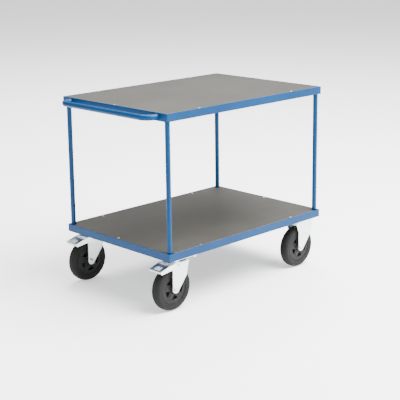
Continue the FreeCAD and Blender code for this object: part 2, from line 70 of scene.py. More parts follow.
class Slot(Enum):
    """The record's material slots."""

    PAINT = "blue_paint"
    BOARD = "board"
    PLATE = "zinc_plate"
    BRIGHT = "bright_zinc"
    STEEL = "ball_steel"
    TYRE = "tyre"
    HUB = "hub_plastic"
    SHOE = "shoe_rubber"


class Axis(Enum):
    """A main direction, and how an outline's two numbers lie across it."""

    X = 0
    Y = 1
    Z = 2

    def put(self, pair: Pair, along: float) -> Vector:
        """Place an outline point at a distance along the axis.

        Args:
            pair: The two numbers across the axis, in the order x, y, z.
            along: The distance along the axis.

        Returns:
            The point in space.
        """
        numbers = list(pair)
        numbers.insert(self.value, along)
        return Vector(numbers)

    @property
    def vector(self) -> Vector:
        """The axis as a unit vector."""
        return Vector([1.0 if index == self.value else 0.0 for index in range(3)])


# ---------------------------------------------------------------- shader graph

class Wire:
    """A node's output that takes part in Python arithmetic."""

    def __init__(self, graph: "Graph", socket: bpy.types.NodeSocket) -> None:
        """Keep the graph that the socket belongs to."""
        self.graph = graph
        self.socket = socket

    def _maths(self, operation: str, first: object, second: object = 0.0) -> "Wire":
        """Add one Math node.

        Args:
            operation: The Math node's operation.
            first: Its first value or wire.
            second: Its second value or wire.

        Returns:
            The result's wire.
        """
        return self.graph.node("ShaderNodeMath", {0: first, 1: second}, operation=operation)

    def __add__(self, other: object) -> "Wire":
        """self + other."""
        return self._maths("ADD", self, other)

    def __radd__(self, other: object) -> "Wire":
        """other + self."""
        return self._maths("ADD", other, self)

    def __sub__(self, other: object) -> "Wire":
        """self - other."""
        return self._maths("SUBTRACT", self, other)

    def __rsub__(self, other: object) -> "Wire":
        """other - self."""
        return self._maths("SUBTRACT", other, self)

    def __mul__(self, other: object) -> "Wire":
        """self * other."""
        return self._maths("MULTIPLY", self, other)

    def __rmul__(self, other: object) -> "Wire":
        """other * self."""
        return self._maths("MULTIPLY", other, self)

    def __pow__(self, other: object) -> "Wire":
        """self to the power of other."""
        return self._maths("POWER", self, other)

    def __abs__(self) -> "Wire":
        """The value without its sign."""
        return self._maths("ABSOLUTE", self)

    def sine(self) -> "Wire":
        """The sine of the value."""
        return self._maths("SINE", self)

    def root(self) -> "Wire":
        """The square root of the value."""
        return self._maths("SQRT", self)

    def most(self, other: object) -> "Wire":
        """The larger of two values."""
        return self._maths("MAXIMUM", self, other)

    def rise(self, start: float, end: float, low: float = 0.0, high: float = 1.0) -> "Wire":
        """A smooth step from one value to another.

        Args:
            start: Where the step begins.
            end: Where the step ends.
            low: The result before the step.
            high: The result after the step.

        Returns:
            The step's wire.
        """
        spread = {"Value": self, "From Min": start, "From Max": end, "To Min": low, "To Max": high}
        return self.graph.node("ShaderNodeMapRange", spread, interpolation_type="SMOOTHSTEP")

    def axis(self, index: int) -> "Wire":
        """One component of a vector: 0 for x, 1 for y, 2 for z."""
        return self.graph.node("ShaderNodeSeparateXYZ", {0: self}, output=index)


class Graph:
    """Builds one node-based material or world from Python expressions."""

    def __init__(self, tree: bpy.types.NodeTree) -> None:
        """Start from an empty tree."""
        self.tree = tree
        tree.nodes.clear()

    def node(self, kind: str, inputs: dict | None = None, output: int | str = 0,
             stops: Sequence[tuple[float, Colour]] = (), **settings: object) -> Wire:
        """Add any node.

        Args:
            kind: The node's type.
            inputs: Values or wires by the name or number of their socket.
            output: The name or number of the output that is returned.
            stops: A colour ramp's places and colours.
            **settings: Properties of the node, set before its sockets.

        Returns:
            The chosen output.
        """
        made = self.tree.nodes.new(kind)
        for name, value in settings.items():
            setattr(made, name, value)
        for index, (place, colour) in enumerate(stops):
            elements = made.color_ramp.elements
            stop = elements[index] if index < 2 else elements.new(place)
            stop.position = place
            stop.color = (*colour, 1.0)
        for key, value in (inputs or {}).items():
            if isinstance(value, Wire):
                self.tree.links.new(value.socket, made.inputs[key])
            elif isinstance(value, tuple) and made.inputs[key].type == "RGBA":
                made.inputs[key].default_value = (*value, 1.0)
            else:
                made.inputs[key].default_value = value
        return Wire(self, made.outputs[output]) if made.outputs else Wire(self, None)

    def blend(self, share: object, first: object, second: object, how: str = "MIX") -> Wire:
        """Mix two colours.

        Args:
            share: How much of the second colour shows.
            first: The first colour or wire.
            second: The second colour or wire.
            how: The Mix node's blend type.

        Returns:
            The mixed colour.
        """
        return self.node("ShaderNodeMix", {0: share, 6: first, 7: second}, output=2,
                         data_type="RGBA", blend_type=how)

    def place(self) -> Wire:
        """Object coordinates, in metres."""
        return self.node("ShaderNodeTexCoord", output="Object")

    def facing(self) -> Wire:
        """The surface's direction in object coordinates."""
        return self.node("ShaderNodeTexCoord", output="Normal")

    def attribute(self, name: str, output: str = "Fac") -> Wire:
        """A named attribute of the mesh.

        Args:
            name: The attribute's name.
            output: "Fac" for a number or "Vector" for a vector.

        Returns:
            The attribute's wire.
        """
        return self.node("ShaderNodeAttribute", output=output, attribute_name=name)

    def stretched(self, at: Wire, scale: Colour) -> Wire:
        """Coordinates multiplied along each axis.

        Args:
            at: The coordinates.
            scale: A factor for each axis.

        Returns:
            The stretched coordinates.
        """
        return self.node("ShaderNodeVectorMath", {0: at, 1: scale}, operation="MULTIPLY")

    def noise(self, at: Wire, scale: float, detail: float = 3.0, roughness: float = 0.55) -> Wire:
        """Soft noise from 0 to 1.

        Args:
            at: The coordinates, in metres.
            scale: Features per metre.
            detail: How many finer layers are added.
            roughness: How strong the finer layers are.

        Returns:
            The noise's value.
        """
        return self.node("ShaderNodeTexNoise", {"Vector": at, "Scale": scale, "Detail": detail,
                                                "Roughness": roughness})

    def cells(self, at: Wire, scale: float, output: str = "Distance", feature: str = "F1") -> Wire:
        """Cell pattern.

        Args:
            at: The coordinates, in metres.
            scale: Cells per metre.
            output: "Distance" or "Color".
            feature: The Voronoi node's feature.

        Returns:
            The pattern's wire.
        """
        return self.node("ShaderNodeTexVoronoi", {"Vector": at, "Scale": scale}, output=output,
                         feature=feature)

    def bump(self, height: Wire, depth: float, strength: float = 1.0,
             over: Wire | None = None) -> Wire:
        """A bumped normal.

        Args:
            height: The height pattern, from 0 to 1.
            depth: The height in metres of a step from 0 to 1.
            strength: How much of it shows.
            over: A bumped normal that this one is added to.

        Returns:
            The normal.
        """
        inputs: dict = {"Height": height, "Distance": depth, "Strength": strength}
        if over is not None:
            inputs["Normal"] = over
        return self.node("ShaderNodeBump", inputs)

    def surface(self, **inputs: object) -> None:
        """Add the Principled shader and the output.

        Args:
            **inputs: The shader's sockets, with _ for each space in a name.
        """
        named = {key.replace("_", " "): value for key, value in inputs.items()}
        shader = self.node("ShaderNodeBsdfPrincipled", named)
        self.node("ShaderNodeOutputMaterial", {"Surface": shader})


# ---------------------------------------------------------------- finishes

@dataclass(frozen=True)
class Finish:
    """A named procedural finish."""

    name: str

    def material(self) -> bpy.types.Material:
        """Build the finish's material when it is first asked for.

        Returns:
            The material.
        """
        known = bpy.data.materials.get(self.name)
        if known is not None:
            return known
        made = bpy.data.materials.new(self.name)
        made.use_nodes = True
        self.dress(Graph(made.node_tree))
        return made

    def dress(self, graph: Graph) -> None:
        """Fill the material's graph; each finish has its own."""
        raise NotImplementedError


@dataclass(frozen=True)
class PowderCoat(Finish):
    """Sprayed and baked paint with a fine skin, dust, and rubbed edges in a lighter blue that is partly
    wear and partly a painted edge highlight.
    """

    colour: Colour = (0.0001, 0.037, 0.120)
    deep: Colour = (0.0001, 0.031, 0.103)
    # Lighter blue for the rubbed edges: partly wear, partly a painted edge highlight.
    rubbed: Colour = (0.003, 0.075, 0.19)
    dust: Colour = (0.015, 0.055, 0.09)
    roughness: float = 0.36
    skin_scale: float = 900.0
    skin_depth: float = 0.00006

    def dress(self, graph: Graph) -> None:
        """Fill the material's graph.

        Args:
            graph: The empty graph.
        """
        at = graph.place()
        cloud = graph.noise(at, 7.0, 4.0).rise(0.35, 0.65)
        broken = graph.noise(at, 160.0, 4.0, 0.65)
        # Broken mask on the rounded edges, for wear and for a painted edge highlight.
        wear_and_highlight = graph.attribute(EDGE_WEAR_AND_HIGHLIGHT) * broken.rise(0.40, 0.62)
        up = graph.facing().axis(2).rise(0.5, 0.95)
        dust = up * graph.noise(at, 36.0, 6.0, 0.7).rise(0.45, 0.85) * 0.16
        base = graph.blend(cloud, self.deep, self.colour)
        base = graph.blend(wear_and_highlight * 0.55, base, self.rubbed)
        base = graph.blend(dust, base, self.dust)
        scuff = graph.noise(graph.stretched(at, (1.0, 1.0, 6.0)), 55.0, 5.0, 0.7).rise(0.58, 0.78)
        skin = graph.noise(at, self.skin_scale, 2.0, 0.5)
        sag = graph.noise(at, 45.0, 1.0)
        normal = graph.bump(skin, self.skin_depth, 0.5, graph.bump(sag, 0.0004, 0.25))
        rough = self.roughness + cloud * 0.04 + scuff * 0.10 + dust * 1.2
        graph.surface(Base_Color=base, Roughness=rough, Normal=normal, Coat_Roughness=0.16,
                      Coat_Weight=0.05 - scuff * 0.04, Specular_IOR_Level=0.12)


@dataclass(frozen=True)
class FilmBoard(Finish):
    """Birch plywood under a grey-brown phenolic film, with sealed ply edges."""

    film: Colour = (0.046, 0.044, 0.038)
    film_dark: Colour = (0.035, 0.033, 0.028)
    ply_light: Colour = (0.40, 0.28, 0.16)
    ply_dark: Colour = (0.17, 0.10, 0.055)
    ply_pitch: float = 0.0014
    roughness: float = 0.44

    def dress(self, graph: Graph) -> None:
        """Fill the material's graph.

        Args:
            graph: The empty graph.
        """
        at = graph.place()
        flat = abs(graph.facing().axis(2)).rise(0.6, 0.9)
        grain = graph.noise(graph.stretched(at, (2.2, 60.0, 1.0)), 6.0, 6.0, 0.65)
        cloud = graph.noise(at, 3.2, 5.0, 0.6)
        fleck = graph.noise(at, 700.0, 2.0, 0.6)
        tone = (grain * 0.35 + cloud * 0.5 + fleck * 0.15).rise(0.38, 0.66)
        film = graph.blend(tone, self.film_dark, self.film)
        scratch_a = graph.noise(graph.stretched(at, (3.0, 130.0, 1.0)), 5.0, 5.0, 0.7).rise(0.66, 0.74)
        scratch_b = graph.noise(graph.stretched(at, (95.0, 5.0, 1.0)), 4.0, 5.0, 0.7).rise(0.68, 0.75)
        scratch = scratch_a.most(scratch_b) * graph.noise(at, 9.0, 2.0).rise(0.45, 0.7)
        film = graph.blend(scratch * 0.22, film, (0.34, 0.33, 0.31))
        layer = (at.axis(2) * (2.0 * math.pi / self.ply_pitch)
                 + graph.noise(at, 30.0, 3.0) * 1.4).sine().rise(-0.35, 0.35)
        fibre = graph.noise(graph.stretched(at, (1.0, 1.0, 12.0)), 300.0, 4.0, 0.7)
        ply = graph.blend(layer * 0.75 + fibre * 0.25, self.ply_dark, self.ply_light)
        base = graph.blend(flat, ply, film)
        rough = self.roughness + 0.10 * cloud + scratch * 0.15 + 0.22 * (1.0 - flat)
        press = graph.cells(at, 520.0, feature="SMOOTH_F1")
        normal = graph.bump(press, 0.00008, 0.22, graph.bump(grain, 0.0003, 0.10))
        graph.surface(Base_Color=base, Roughness=rough, Normal=normal, Specular_IOR_Level=0.20,
                      Coat_Weight=flat * 0.03, Coat_Roughness=0.25)


@dataclass(frozen=True)
class ZincPlate(Finish):
    """Bright electroplated sheet steel with faint rolling streaks and passivation tints."""

    colour: Colour = (0.80, 0.83, 0.83)
    cool: Colour = (0.70, 0.77, 0.80)
    warm: Colour = (0.80, 0.79, 0.72)
    grime: Colour = (0.30, 0.30, 0.29)
    roughness: float = 0.36
    metallic: float = 0.85
    stained: float = 0.16
    dented: float = 0.25

    def dress(self, graph: Graph) -> None:
        """Fill the material's graph.

        Args:
            graph: The empty graph.
        """
        at = graph.place()
        cloud = graph.noise(at, 22.0, 4.0, 0.6)
        tint = graph.noise(at, 38.0, 3.0, 0.6)
        spangle = graph.cells(at, 210.0, output="Color").axis(0)
        base = graph.blend(cloud.rise(0.4, 0.7) * 0.6, self.colour, self.cool)
        base = graph.blend(tint.rise(0.56, 0.74) * 0.35, base, self.warm)
        stain = graph.noise(at, 95.0, 6.0, 0.72).rise(0.62, 0.80)
        base = graph.blend(stain * self.stained, base, self.grime)
        streak = graph.noise(graph.stretched(at, (1.0, 1.0, 22.0)), 60.0, 4.0, 0.65)
        rough = self.roughness + 0.10 * streak + 0.05 * spangle + 0.12 * stain - 0.05
        dent = graph.noise(at, 24.0, 1.0)
        normal = graph.bump(streak, 0.00005, 0.35, graph.bump(dent, 0.0006, self.dented))
        graph.surface(Base_Color=base, Roughness=rough, Metallic=self.metallic, Normal=normal)


@dataclass(frozen=True)
class BrightFastener(Finish):
    """Zinc plated bolts and screws, shinier than the sheet parts."""

    colour: Colour = (0.74, 0.76, 0.76)
    dull: Colour = (0.46, 0.46, 0.44)
    roughness: float = 0.24

    def dress(self, graph: Graph) -> None:
        """Fill the material's graph.

        Args:
            graph: The empty graph.
        """
        at = graph.place()
        cloud = graph.noise(at, 260.0, 4.0, 0.6).rise(0.35, 0.75)
        turned = graph.noise(graph.stretched(at, (1.0, 1.0, 5.0)), 900.0, 2.0)
        base = graph.blend(cloud * 0.55, self.colour, self.dull)
        rough = self.roughness + 0.14 * cloud + 0.06 * turned
        graph.surface(Base_Color=base, Roughness=rough, Metallic=1.0,
                      Normal=graph.bump(turned, 0.00003, 0.4))


@dataclass(frozen=True)
class GroundSteel(Finish):
    """Greased, ground bearing steel."""

    colour: Colour = (0.42, 0.42, 0.42)
    grease: Colour = (0.12, 0.095, 0.06)
    roughness: float = 0.14

    def dress(self, graph: Graph) -> None:
        """Fill the material's graph.

        Args:
            graph: The empty graph.
        """
        at = graph.place()
        film = graph.noise(at, 220.0, 4.0, 0.6).rise(0.42, 0.68)
        ground = graph.noise(graph.stretched(at, (1.0, 14.0, 1.0)), 700.0, 2.0)
        base = graph.blend(film * 0.5, self.colour, self.grease)
        graph.surface(Base_Color=base, Roughness=self.roughness + 0.28 * film + 0.05 * ground,
                      Metallic=1.0 - film * 0.35, Normal=graph.bump(ground, 0.00002, 0.3))


@dataclass(frozen=True)
class TyreRubber(Finish):
    """Solid black rubber with moulding rings, bloom and a dusty rolled tread."""

    colour: Colour = (0.0055, 0.0055, 0.0053)
    bloom: Colour = (0.0095, 0.0095, 0.0092)
    dust: Colour = (0.021, 0.021, 0.0195)
    tread_start: float = 0.090
    tread_end: float = 0.0985
    ring_pitch: float = 0.0012
    roughness: float = 0.58

    def dress(self, graph: Graph) -> None:
        """Fill the material's graph.

        Args:
            graph: The empty graph.
        """
        at = graph.attribute(LOCAL, "Vector")
        x, z = at.axis(0), at.axis(2)
        radius = (x * x + z * z).root()
        tread = radius.rise(self.tread_start, self.tread_end)
        cloud = graph.noise(at, 34.0, 5.0, 0.65)
        speck = graph.noise(at, 520.0, 3.0, 0.7)
        ring = (radius * (2.0 * math.pi / self.ring_pitch)).sine()
        base = graph.blend(cloud.rise(0.40, 0.72) * 0.7, self.colour, self.bloom)
        dirt = tread * speck.rise(0.38, 0.66) * 0.32 + cloud.rise(0.55, 0.8) * 0.10
        base = graph.blend(dirt, base, self.dust)
        rough = self.roughness + 0.12 * cloud + 0.16 * tread
        grit = graph.bump(speck, 0.00025, 0.4, graph.bump(ring, 0.00003, 0.35))
        graph.surface(Base_Color=base, Roughness=rough, Normal=grit, Specular_IOR_Level=0.22)


@dataclass(frozen=True)
class MouldedPlastic(Finish):
    """Black glass-filled nylon with a lightly sparked skin."""

    colour: Colour = (0.008, 0.008, 0.0077)
    pale: Colour = (0.018, 0.018, 0.017)
    roughness: float = 0.46

    def dress(self, graph: Graph) -> None:
        """Fill the material's graph.

        Args:
            graph: The empty graph.
        """
        at = graph.attribute(LOCAL, "Vector")
        swirl = graph.noise(at, 60.0, 5.0, 0.65)
        spark = graph.noise(at, 1400.0, 2.0, 0.6)
        # Lighter grey on the narrow edge faces: partly wear, partly a painted edge highlight.
        rubbed = graph.attribute(EDGE_WEAR_AND_HIGHLIGHT) * graph.noise(at, 240.0, 4.0).rise(0.35, 0.6)
        base = graph.blend(swirl.rise(0.4, 0.75) * 0.5, self.colour, self.pale)
        base = graph.blend(rubbed * 0.5, base, (0.09, 0.09, 0.086))
        rough = self.roughness + 0.14 * swirl + 0.05 * spark
        graph.surface(Base_Color=base, Roughness=rough, Specular_IOR_Level=0.2,
                      Normal=graph.bump(spark, 0.00006, 0.5))


@dataclass(frozen=True)
class ShoeRubber(Finish):
    """Grey-black brake rubber, polished where it rubs."""

    colour: Colour = (0.032, 0.031, 0.030)
    rubbed: Colour = (0.085, 0.083, 0.080)

    def dress(self, graph: Graph) -> None:
        """Fill the material's graph.

        Args:
            graph: The empty graph.
        """
        at = graph.place()
        smear = graph.noise(graph.stretched(at, (9.0, 1.0, 1.0)), 40.0, 5.0, 0.7)
        pit = graph.cells(at, 900.0)
        base = graph.blend(smear.rise(0.45, 0.7) * 0.7, self.colour, self.rubbed)
        graph.surface(Base_Color=base, Roughness=0.62 + 0.2 * smear, Specular_IOR_Level=0.35,
                      Normal=graph.bump(pit, 0.0002, 0.4))


@dataclass(frozen=True)
class StudioPaper(Finish):
    """The plain pale sweep that the object stands on."""

    colour: Colour = (0.86, 0.86, 0.86)
    glow: float = 0.9

    def dress(self, graph: Graph) -> None:
        """Fill the material's graph.

        Args:
            graph: The empty graph.
        """
        at = graph.place()
        tone = graph.noise(at, 1.4, 3.0)
        base = graph.blend(tone * 0.05, self.colour, (0.82, 0.82, 0.82))
        graph.surface(Base_Color=base, Roughness=0.85, Specular_IOR_Level=0.1,
                      Emission_Color=base, Emission_Strength=self.glow)


PAINT = PowderCoat("blue_powder_coat")
FILM = FilmBoard("film_faced_board")
ZINC = ZincPlate("zinc_plated_sheet")
PEDAL_ZINC = ZincPlate("zinc_plated_pedal", roughness=0.29, metallic=1.0, stained=0.08, dented=0.10)
TREAD_ZINC = ZincPlate("zinc_plated_pad", roughness=0.38, metallic=0.35)
BRIGHT = BrightFastener("bright_zinc_fastener")
STEEL = GroundSteel("ground_steel")
RUBBER = TyreRubber("tyre_rubber")
NYLON = MouldedPlastic("moulded_nylon")
SHOE = ShoeRubber("brake_rubber")
PAPER = StudioPaper("studio_paper")


# ---------------------------------------------------------------- mesh toolkit

def circle(radius: float, count: int, centre: Pair = (0.0, 0.0)) -> Outline:
    """Points evenly round a circle.

    Args:
        radius: The circle's radius.
        count: The number of points.
        centre: Its centre.

    Returns:
        The outline, anticlockwise.
    """
    turns = [2.0 * math.pi * index / count for index in range(count)]
    return [(centre[0] + radius * math.cos(turn), centre[1] + radius * math.sin(turn))
            for turn in turns]


def arc(centre: Pair, radius: float, start: float, end: float, steps: int) -> Outline:
    """Points along an arc.

    Args:
        centre: The arc's centre.
        radius: Its radius.
        start: Its first angle, in degrees.
        end: Its last angle, in degrees.
        steps: The number of straight steps.

    Returns:
        The points, both ends among them.
    """
    turns = [math.radians(start + (end - start) * index / steps) for index in range(steps + 1)]
    return [(centre[0] + radius * math.cos(turn), centre[1] + radius * math.sin(turn))
            for turn in turns]


def rounded(corners: Sequence[Pair], radius: float | Sequence[float], steps: int = 4) -> Outline:
    """Round an outline's corners.

    Args:
        corners: The outline's corners in order.
        radius: One radius, or one for each corner, where zero leaves it sharp.
        steps: The number of straight steps in each rounded corner.

    Returns:
        The rounded outline.
    """
    radii = [radius] * len(corners) if isinstance(radius, float) else list(radius)
    points: Outline = []
    for index, corner in enumerate(corners):
        here = Vector(corner)
        before = Vector(corners[index - 1]) - here
        after = Vector(corners[(index + 1) % len(corners)]) - here
        half = before.angle(after) / 2.0
        size = radii[index]
        if size <= 0.0 or half > math.radians(89.5):
            points.append((here.x, here.y))
            continue
        reach = min(size / math.tan(half), 0.49 * before.length, 0.49 * after.length)
        size = reach * math.tan(half)
        middle = here + (before.normalized() + after.normalized()).normalized() * (size / math.sin(half))
        start = here + before.normalized() * reach - middle
        end = here + after.normalized() * reach - middle
        turn = math.atan2(start.x * end.y - start.y * end.x, start.dot(end))
        for step in range(steps + 1):
            angle = turn * step / steps
            x = start.x * math.cos(angle) - start.y * math.sin(angle)
            y = start.x * math.sin(angle) + start.y * math.cos(angle)
            points.append((middle.x + x, middle.y + y))
    return points


def disc(radius: float, low: float, high: float, edge: float) -> Outline:
    """The profile of a solid disc with broken edges, to be turned about its axis."""
    return [(0.0, low), (radius - edge, low), (radius, low + edge), (radius, high - edge),
            (radius - edge, high), (0.0, high)]


def globe(radius: float, steps: int) -> Outline:
    """The profile of a ball, from pole to pole, to be turned about its axis.

    Args:
        radius: The ball's radius.
        steps: How many steps there are between the poles.

    Returns:
        The profile as pairs of radius and height.
    """
    turns = [math.pi * (index / steps - 0.5) for index in range(1, steps)]
    return [(0.0, -radius), *((radius * math.cos(turn), radius * math.sin(turn)) for turn in turns),
            (0.0, radius)]


def rectangle(low: Pair, high: Pair) -> Outline:
    """The four corners of a rectangle, anticlockwise."""
    return [low, (high[0], low[1]), high, (low[0], high[1])]


class Shape:
    """A mesh while it is being built."""

    def __init__(self) -> None:
        """Start with nothing."""
        self.mesh = bmesh.new()

    def fill(self, outline: Outline, holes: Iterable[Outline], put: Callable[[Pair], Vector]) -> list:
        """Add a flat face, or a triangulated one where it has holes.

        Args:
            outline: The face's outline.
            holes: Outlines of its holes.
            put: Places an outline point in space.

        Returns:
            The new faces.
        """
        edges = []
        loops = []
        for loop in [outline, *holes]:
            verts = [self.mesh.verts.new(put(pair)) for pair in loop]
            loops.append(verts)
            edges += [self.mesh.edges.new((verts[index - 1], vert)) for index, vert in enumerate(verts)]
        if len(loops) == 1:
            return [self.mesh.faces.new(loops[0])]
        filled = bmesh.ops.triangle_fill(self.mesh, use_beauty=True, edges=edges)["geom"]
        return [item for item in filled if isinstance(item, bmesh.types.BMFace)]

    def thicken(self, faces: Sequence, offset: Vector) -> None:
        """Close a sheet of faces into a solid.

        Args:
            faces: The sheet's faces.
            offset: From each point to its twin on the other side.
        """
        verts = dict.fromkeys(vert for face in faces for vert in face.verts)
        edges = dict.fromkeys(edge for face in faces for edge in face.edges)
        members = set(faces)
        rim = [edge for edge in edges if sum(face in members for face in edge.link_faces) == 1]
        twins = {vert: self.mesh.verts.new(vert.co + offset) for vert in verts}
        for face in faces:
            self.mesh.faces.new([twins[vert] for vert in face.verts])
        for edge in rim:
            first, second = edge.verts
            self.mesh.faces.new((first, second, twins[second], twins[first]))

    def prism(self, outline: Outline, low: float, high: float, axis: Axis = Axis.Y,
              holes: Iterable[Outline] = ()) -> "Shape":
        """Add a plate with a given outline.

        Args:
            outline: The plate's outline across the axis.
            low: Where it starts along the axis.
            high: Where it ends.
            axis: The direction of its thickness.
            holes: Outlines of holes through it.

        Returns:
            The same shape.
        """
        faces = self.fill(outline, holes, lambda pair: axis.put(pair, low))
        self.thicken(faces, axis.vector * (high - low))
        return self

    def loft(self, rings: Sequence[Sequence[Vector]], closed: bool = False) -> "Shape":
        """Join rings of points into a skin, with its ends closed.

        Args:
            rings: Rings with the same number of points, or single points at a pole.
            closed: Whether the last ring joins the first.

        Returns:
            The same shape.
        """
        made = [[self.mesh.verts.new(point) for point in ring] for ring in rings]
        pairs = list(zip(made, made[1:] + made[:1])) if closed else list(zip(made, made[1:]))
        for lower, upper in pairs:
            count = max(len(lower), len(upper))
            for index in range(count):
                after = (index + 1) % count
                corners = [lower[index % len(lower)], lower[after % len(lower)],
                           upper[after % len(upper)], upper[index % len(upper)]]
                self.mesh.faces.new(list(dict.fromkeys(corners)))
        if not closed:
            for ring in (made[0], made[-1]):
                if len(ring) > 2:
                    self.mesh.faces.new(ring)
        return self

    def lathe(self, profile: Sequence[Pair], axis: Axis = Axis.Y, centre: Vector | None = None,
              segments: int = 48, closed: bool = False) -> "Shape":
        """Turn a profile about an axis.

        Args:
            profile: Radius and distance along the axis of each point.
            axis: The axis it turns about.
            centre: The axis's origin.
            segments: The number of steps round.
            closed: Whether the profile is a closed ring section.

        Returns:
            The same shape.
        """
        origin = centre or Vector()
        rings = []
        for radius, along in profile:
            if radius < 1e-7:
                rings.append([origin + axis.vector * along])
            else:
                rings.append([origin + axis.put(pair, along) for pair in circle(radius, segments)])
        return self.loft(rings, closed)

    def turned(self, matrix: Matrix) -> "Shape":
        """Move everything by a matrix and return the same shape."""
        bmesh.ops.transform(self.mesh, matrix=matrix, verts=self.mesh.verts)
        return self

    def add(self, source: bpy.types.Mesh) -> "Shape":
        """Add a finished mesh and return the same shape."""
        self.mesh.from_mesh(source)
        return self

    def piece(self, name: str, finish: Finish, bevel: float = 0.0, steps: int = 2,
              centre: Vector | None = None, merge: float = 1e-6,
              weighted: bool = True) -> bpy.types.Object:
        """Finish the mesh: merge doubles, round its edges and set its normals.

        Args:
            name: The piece's name.
            finish: Its finish.
            bevel: The rounding of its sharp edges.
            steps: The number of steps across a rounded edge.
            centre: The centre that the finish's local pattern is drawn about.
            merge: The distance within which doubles are merged.
            weighted: Whether large faces keep flat shading next to rounded edges.

        Returns:
            The finished object.
        """
        bmesh.ops.remove_doubles(self.mesh, verts=self.mesh.verts, dist=merge)
        bmesh.ops.dissolve_degenerate(self.mesh, edges=self.mesh.edges, dist=merge)
        bmesh.ops.recalc_face_normals(self.mesh, faces=self.mesh.faces)
        # Narrow faces, mostly rounded edges, are marked so that finishes lighten them as wear and as a
        # painted edge highlight.
        wear_and_highlight = self.mesh.faces.layers.float.new(EDGE_WEAR_AND_HIGHLIGHT)
        if bevel > 0.0:
            edges = [edge for edge in self.mesh.edges
                     if len(edge.link_faces) == 2 and edge.calc_face_angle() > BEVEL_ANGLE]
            bmesh.ops.bevel(self.mesh, geom=edges, offset=bevel, segments=steps, profile=0.5,
                            affect="EDGES", clamp_overlap=True)
        for face in self.mesh.faces:
            face.smooth = True
            longest = max(edge.calc_length() for edge in face.edges)
            face[wear_and_highlight] = 1.0 if face.calc_area() < EDGE_BAND_WIDTH * longest else 0.0
        data = bpy.data.meshes.new(name)
        self.mesh.to_mesh(data)
        self.mesh.free()
        data.set_sharp_from_angle(angle=SHARP_ANGLE)
        data.materials.append(finish.material())
        made_object = bpy.data.objects.new(name, data)
        bpy.context.collection.objects.link(made_object)
        if weighted:
            even = made_object.modifiers.new("weighted", "WEIGHTED_NORMAL")
            even.keep_sharp = True
            bake(made_object)
        mark_local(made_object, centre)
        return made_object


def bake(piece: bpy.types.Object) -> bpy.types.Object:
    """Turn an object's modifiers into plain mesh.

    Args:
        piece: The object.

    Returns:
        The same object, without modifiers.
    """
    evaluated = piece.evaluated_get(bpy.context.evaluated_depsgraph_get())
    data = bpy.data.meshes.new_from_object(evaluated)
    data.name = piece.name
    piece.modifiers.clear()
    piece.data = data
    return piece


def mark_local(piece: bpy.types.Object, centre: Vector | None) -> None:
    """Store each point's place about a centre, for patterns that turn with a wheel.

    Args:
        piece: The object.
        centre: The centre, or None for no such pattern.
    """
    if centre is None:
        return
    layer = piece.data.attributes.new(LOCAL, "FLOAT_VECTOR", "POINT")
    values: list[float] = []
    for vert in piece.data.vertices:
        values.extend(vert.co - centre)
    layer.data.foreach_set("vector", values)


def carve(piece: bpy.types.Object, tool: bpy.types.Object, operation: str = "DIFFERENCE") -> None:
    """Cut one solid by another, or join them.

    Args:
        piece: The solid that stays.
        tool: The solid that is used up.
        operation: The Boolean modifier's operation.
    """
    cut = piece.modifiers.new("cut", "BOOLEAN")
    cut.operation = operation
    cut.solver = "EXACT"
    cut.object = tool
    bake(piece)
    discard(tool)


def discard(*things: bpy.types.Object) -> None:
    """Remove helper objects."""
    for thing in things:
        bpy.data.objects.remove(thing)


def mount(piece: bpy.types.Object, body: str, slot: Slot, *nodes: str) -> bpy.types.Object:
    """Tie a piece to the frame.

    Args:
        piece: The finished piece.
        body: The body that it rides on.
        slot: The record's slot for its finish; not used.
        *nodes: The CAD nodes that it stands for.

    Returns:
        The same piece.
    """
    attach(piece, body)
    if nodes:
        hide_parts(*nodes)
    LOG.info("%s rides on %s", piece.name, body)
    return piece


def middle(node: str) -> Vector:
    """The centre of a CAD node's box."""
    low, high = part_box(node)
    return (Vector(low) + Vector(high)) / 2.0


# ---------------------------------------------------------------- repeated shapes

class Layout(Enum):
    """How copies of a small shape are laid out."""

    RING = "ring"
    GRID = "grid"
    LINE = "line"


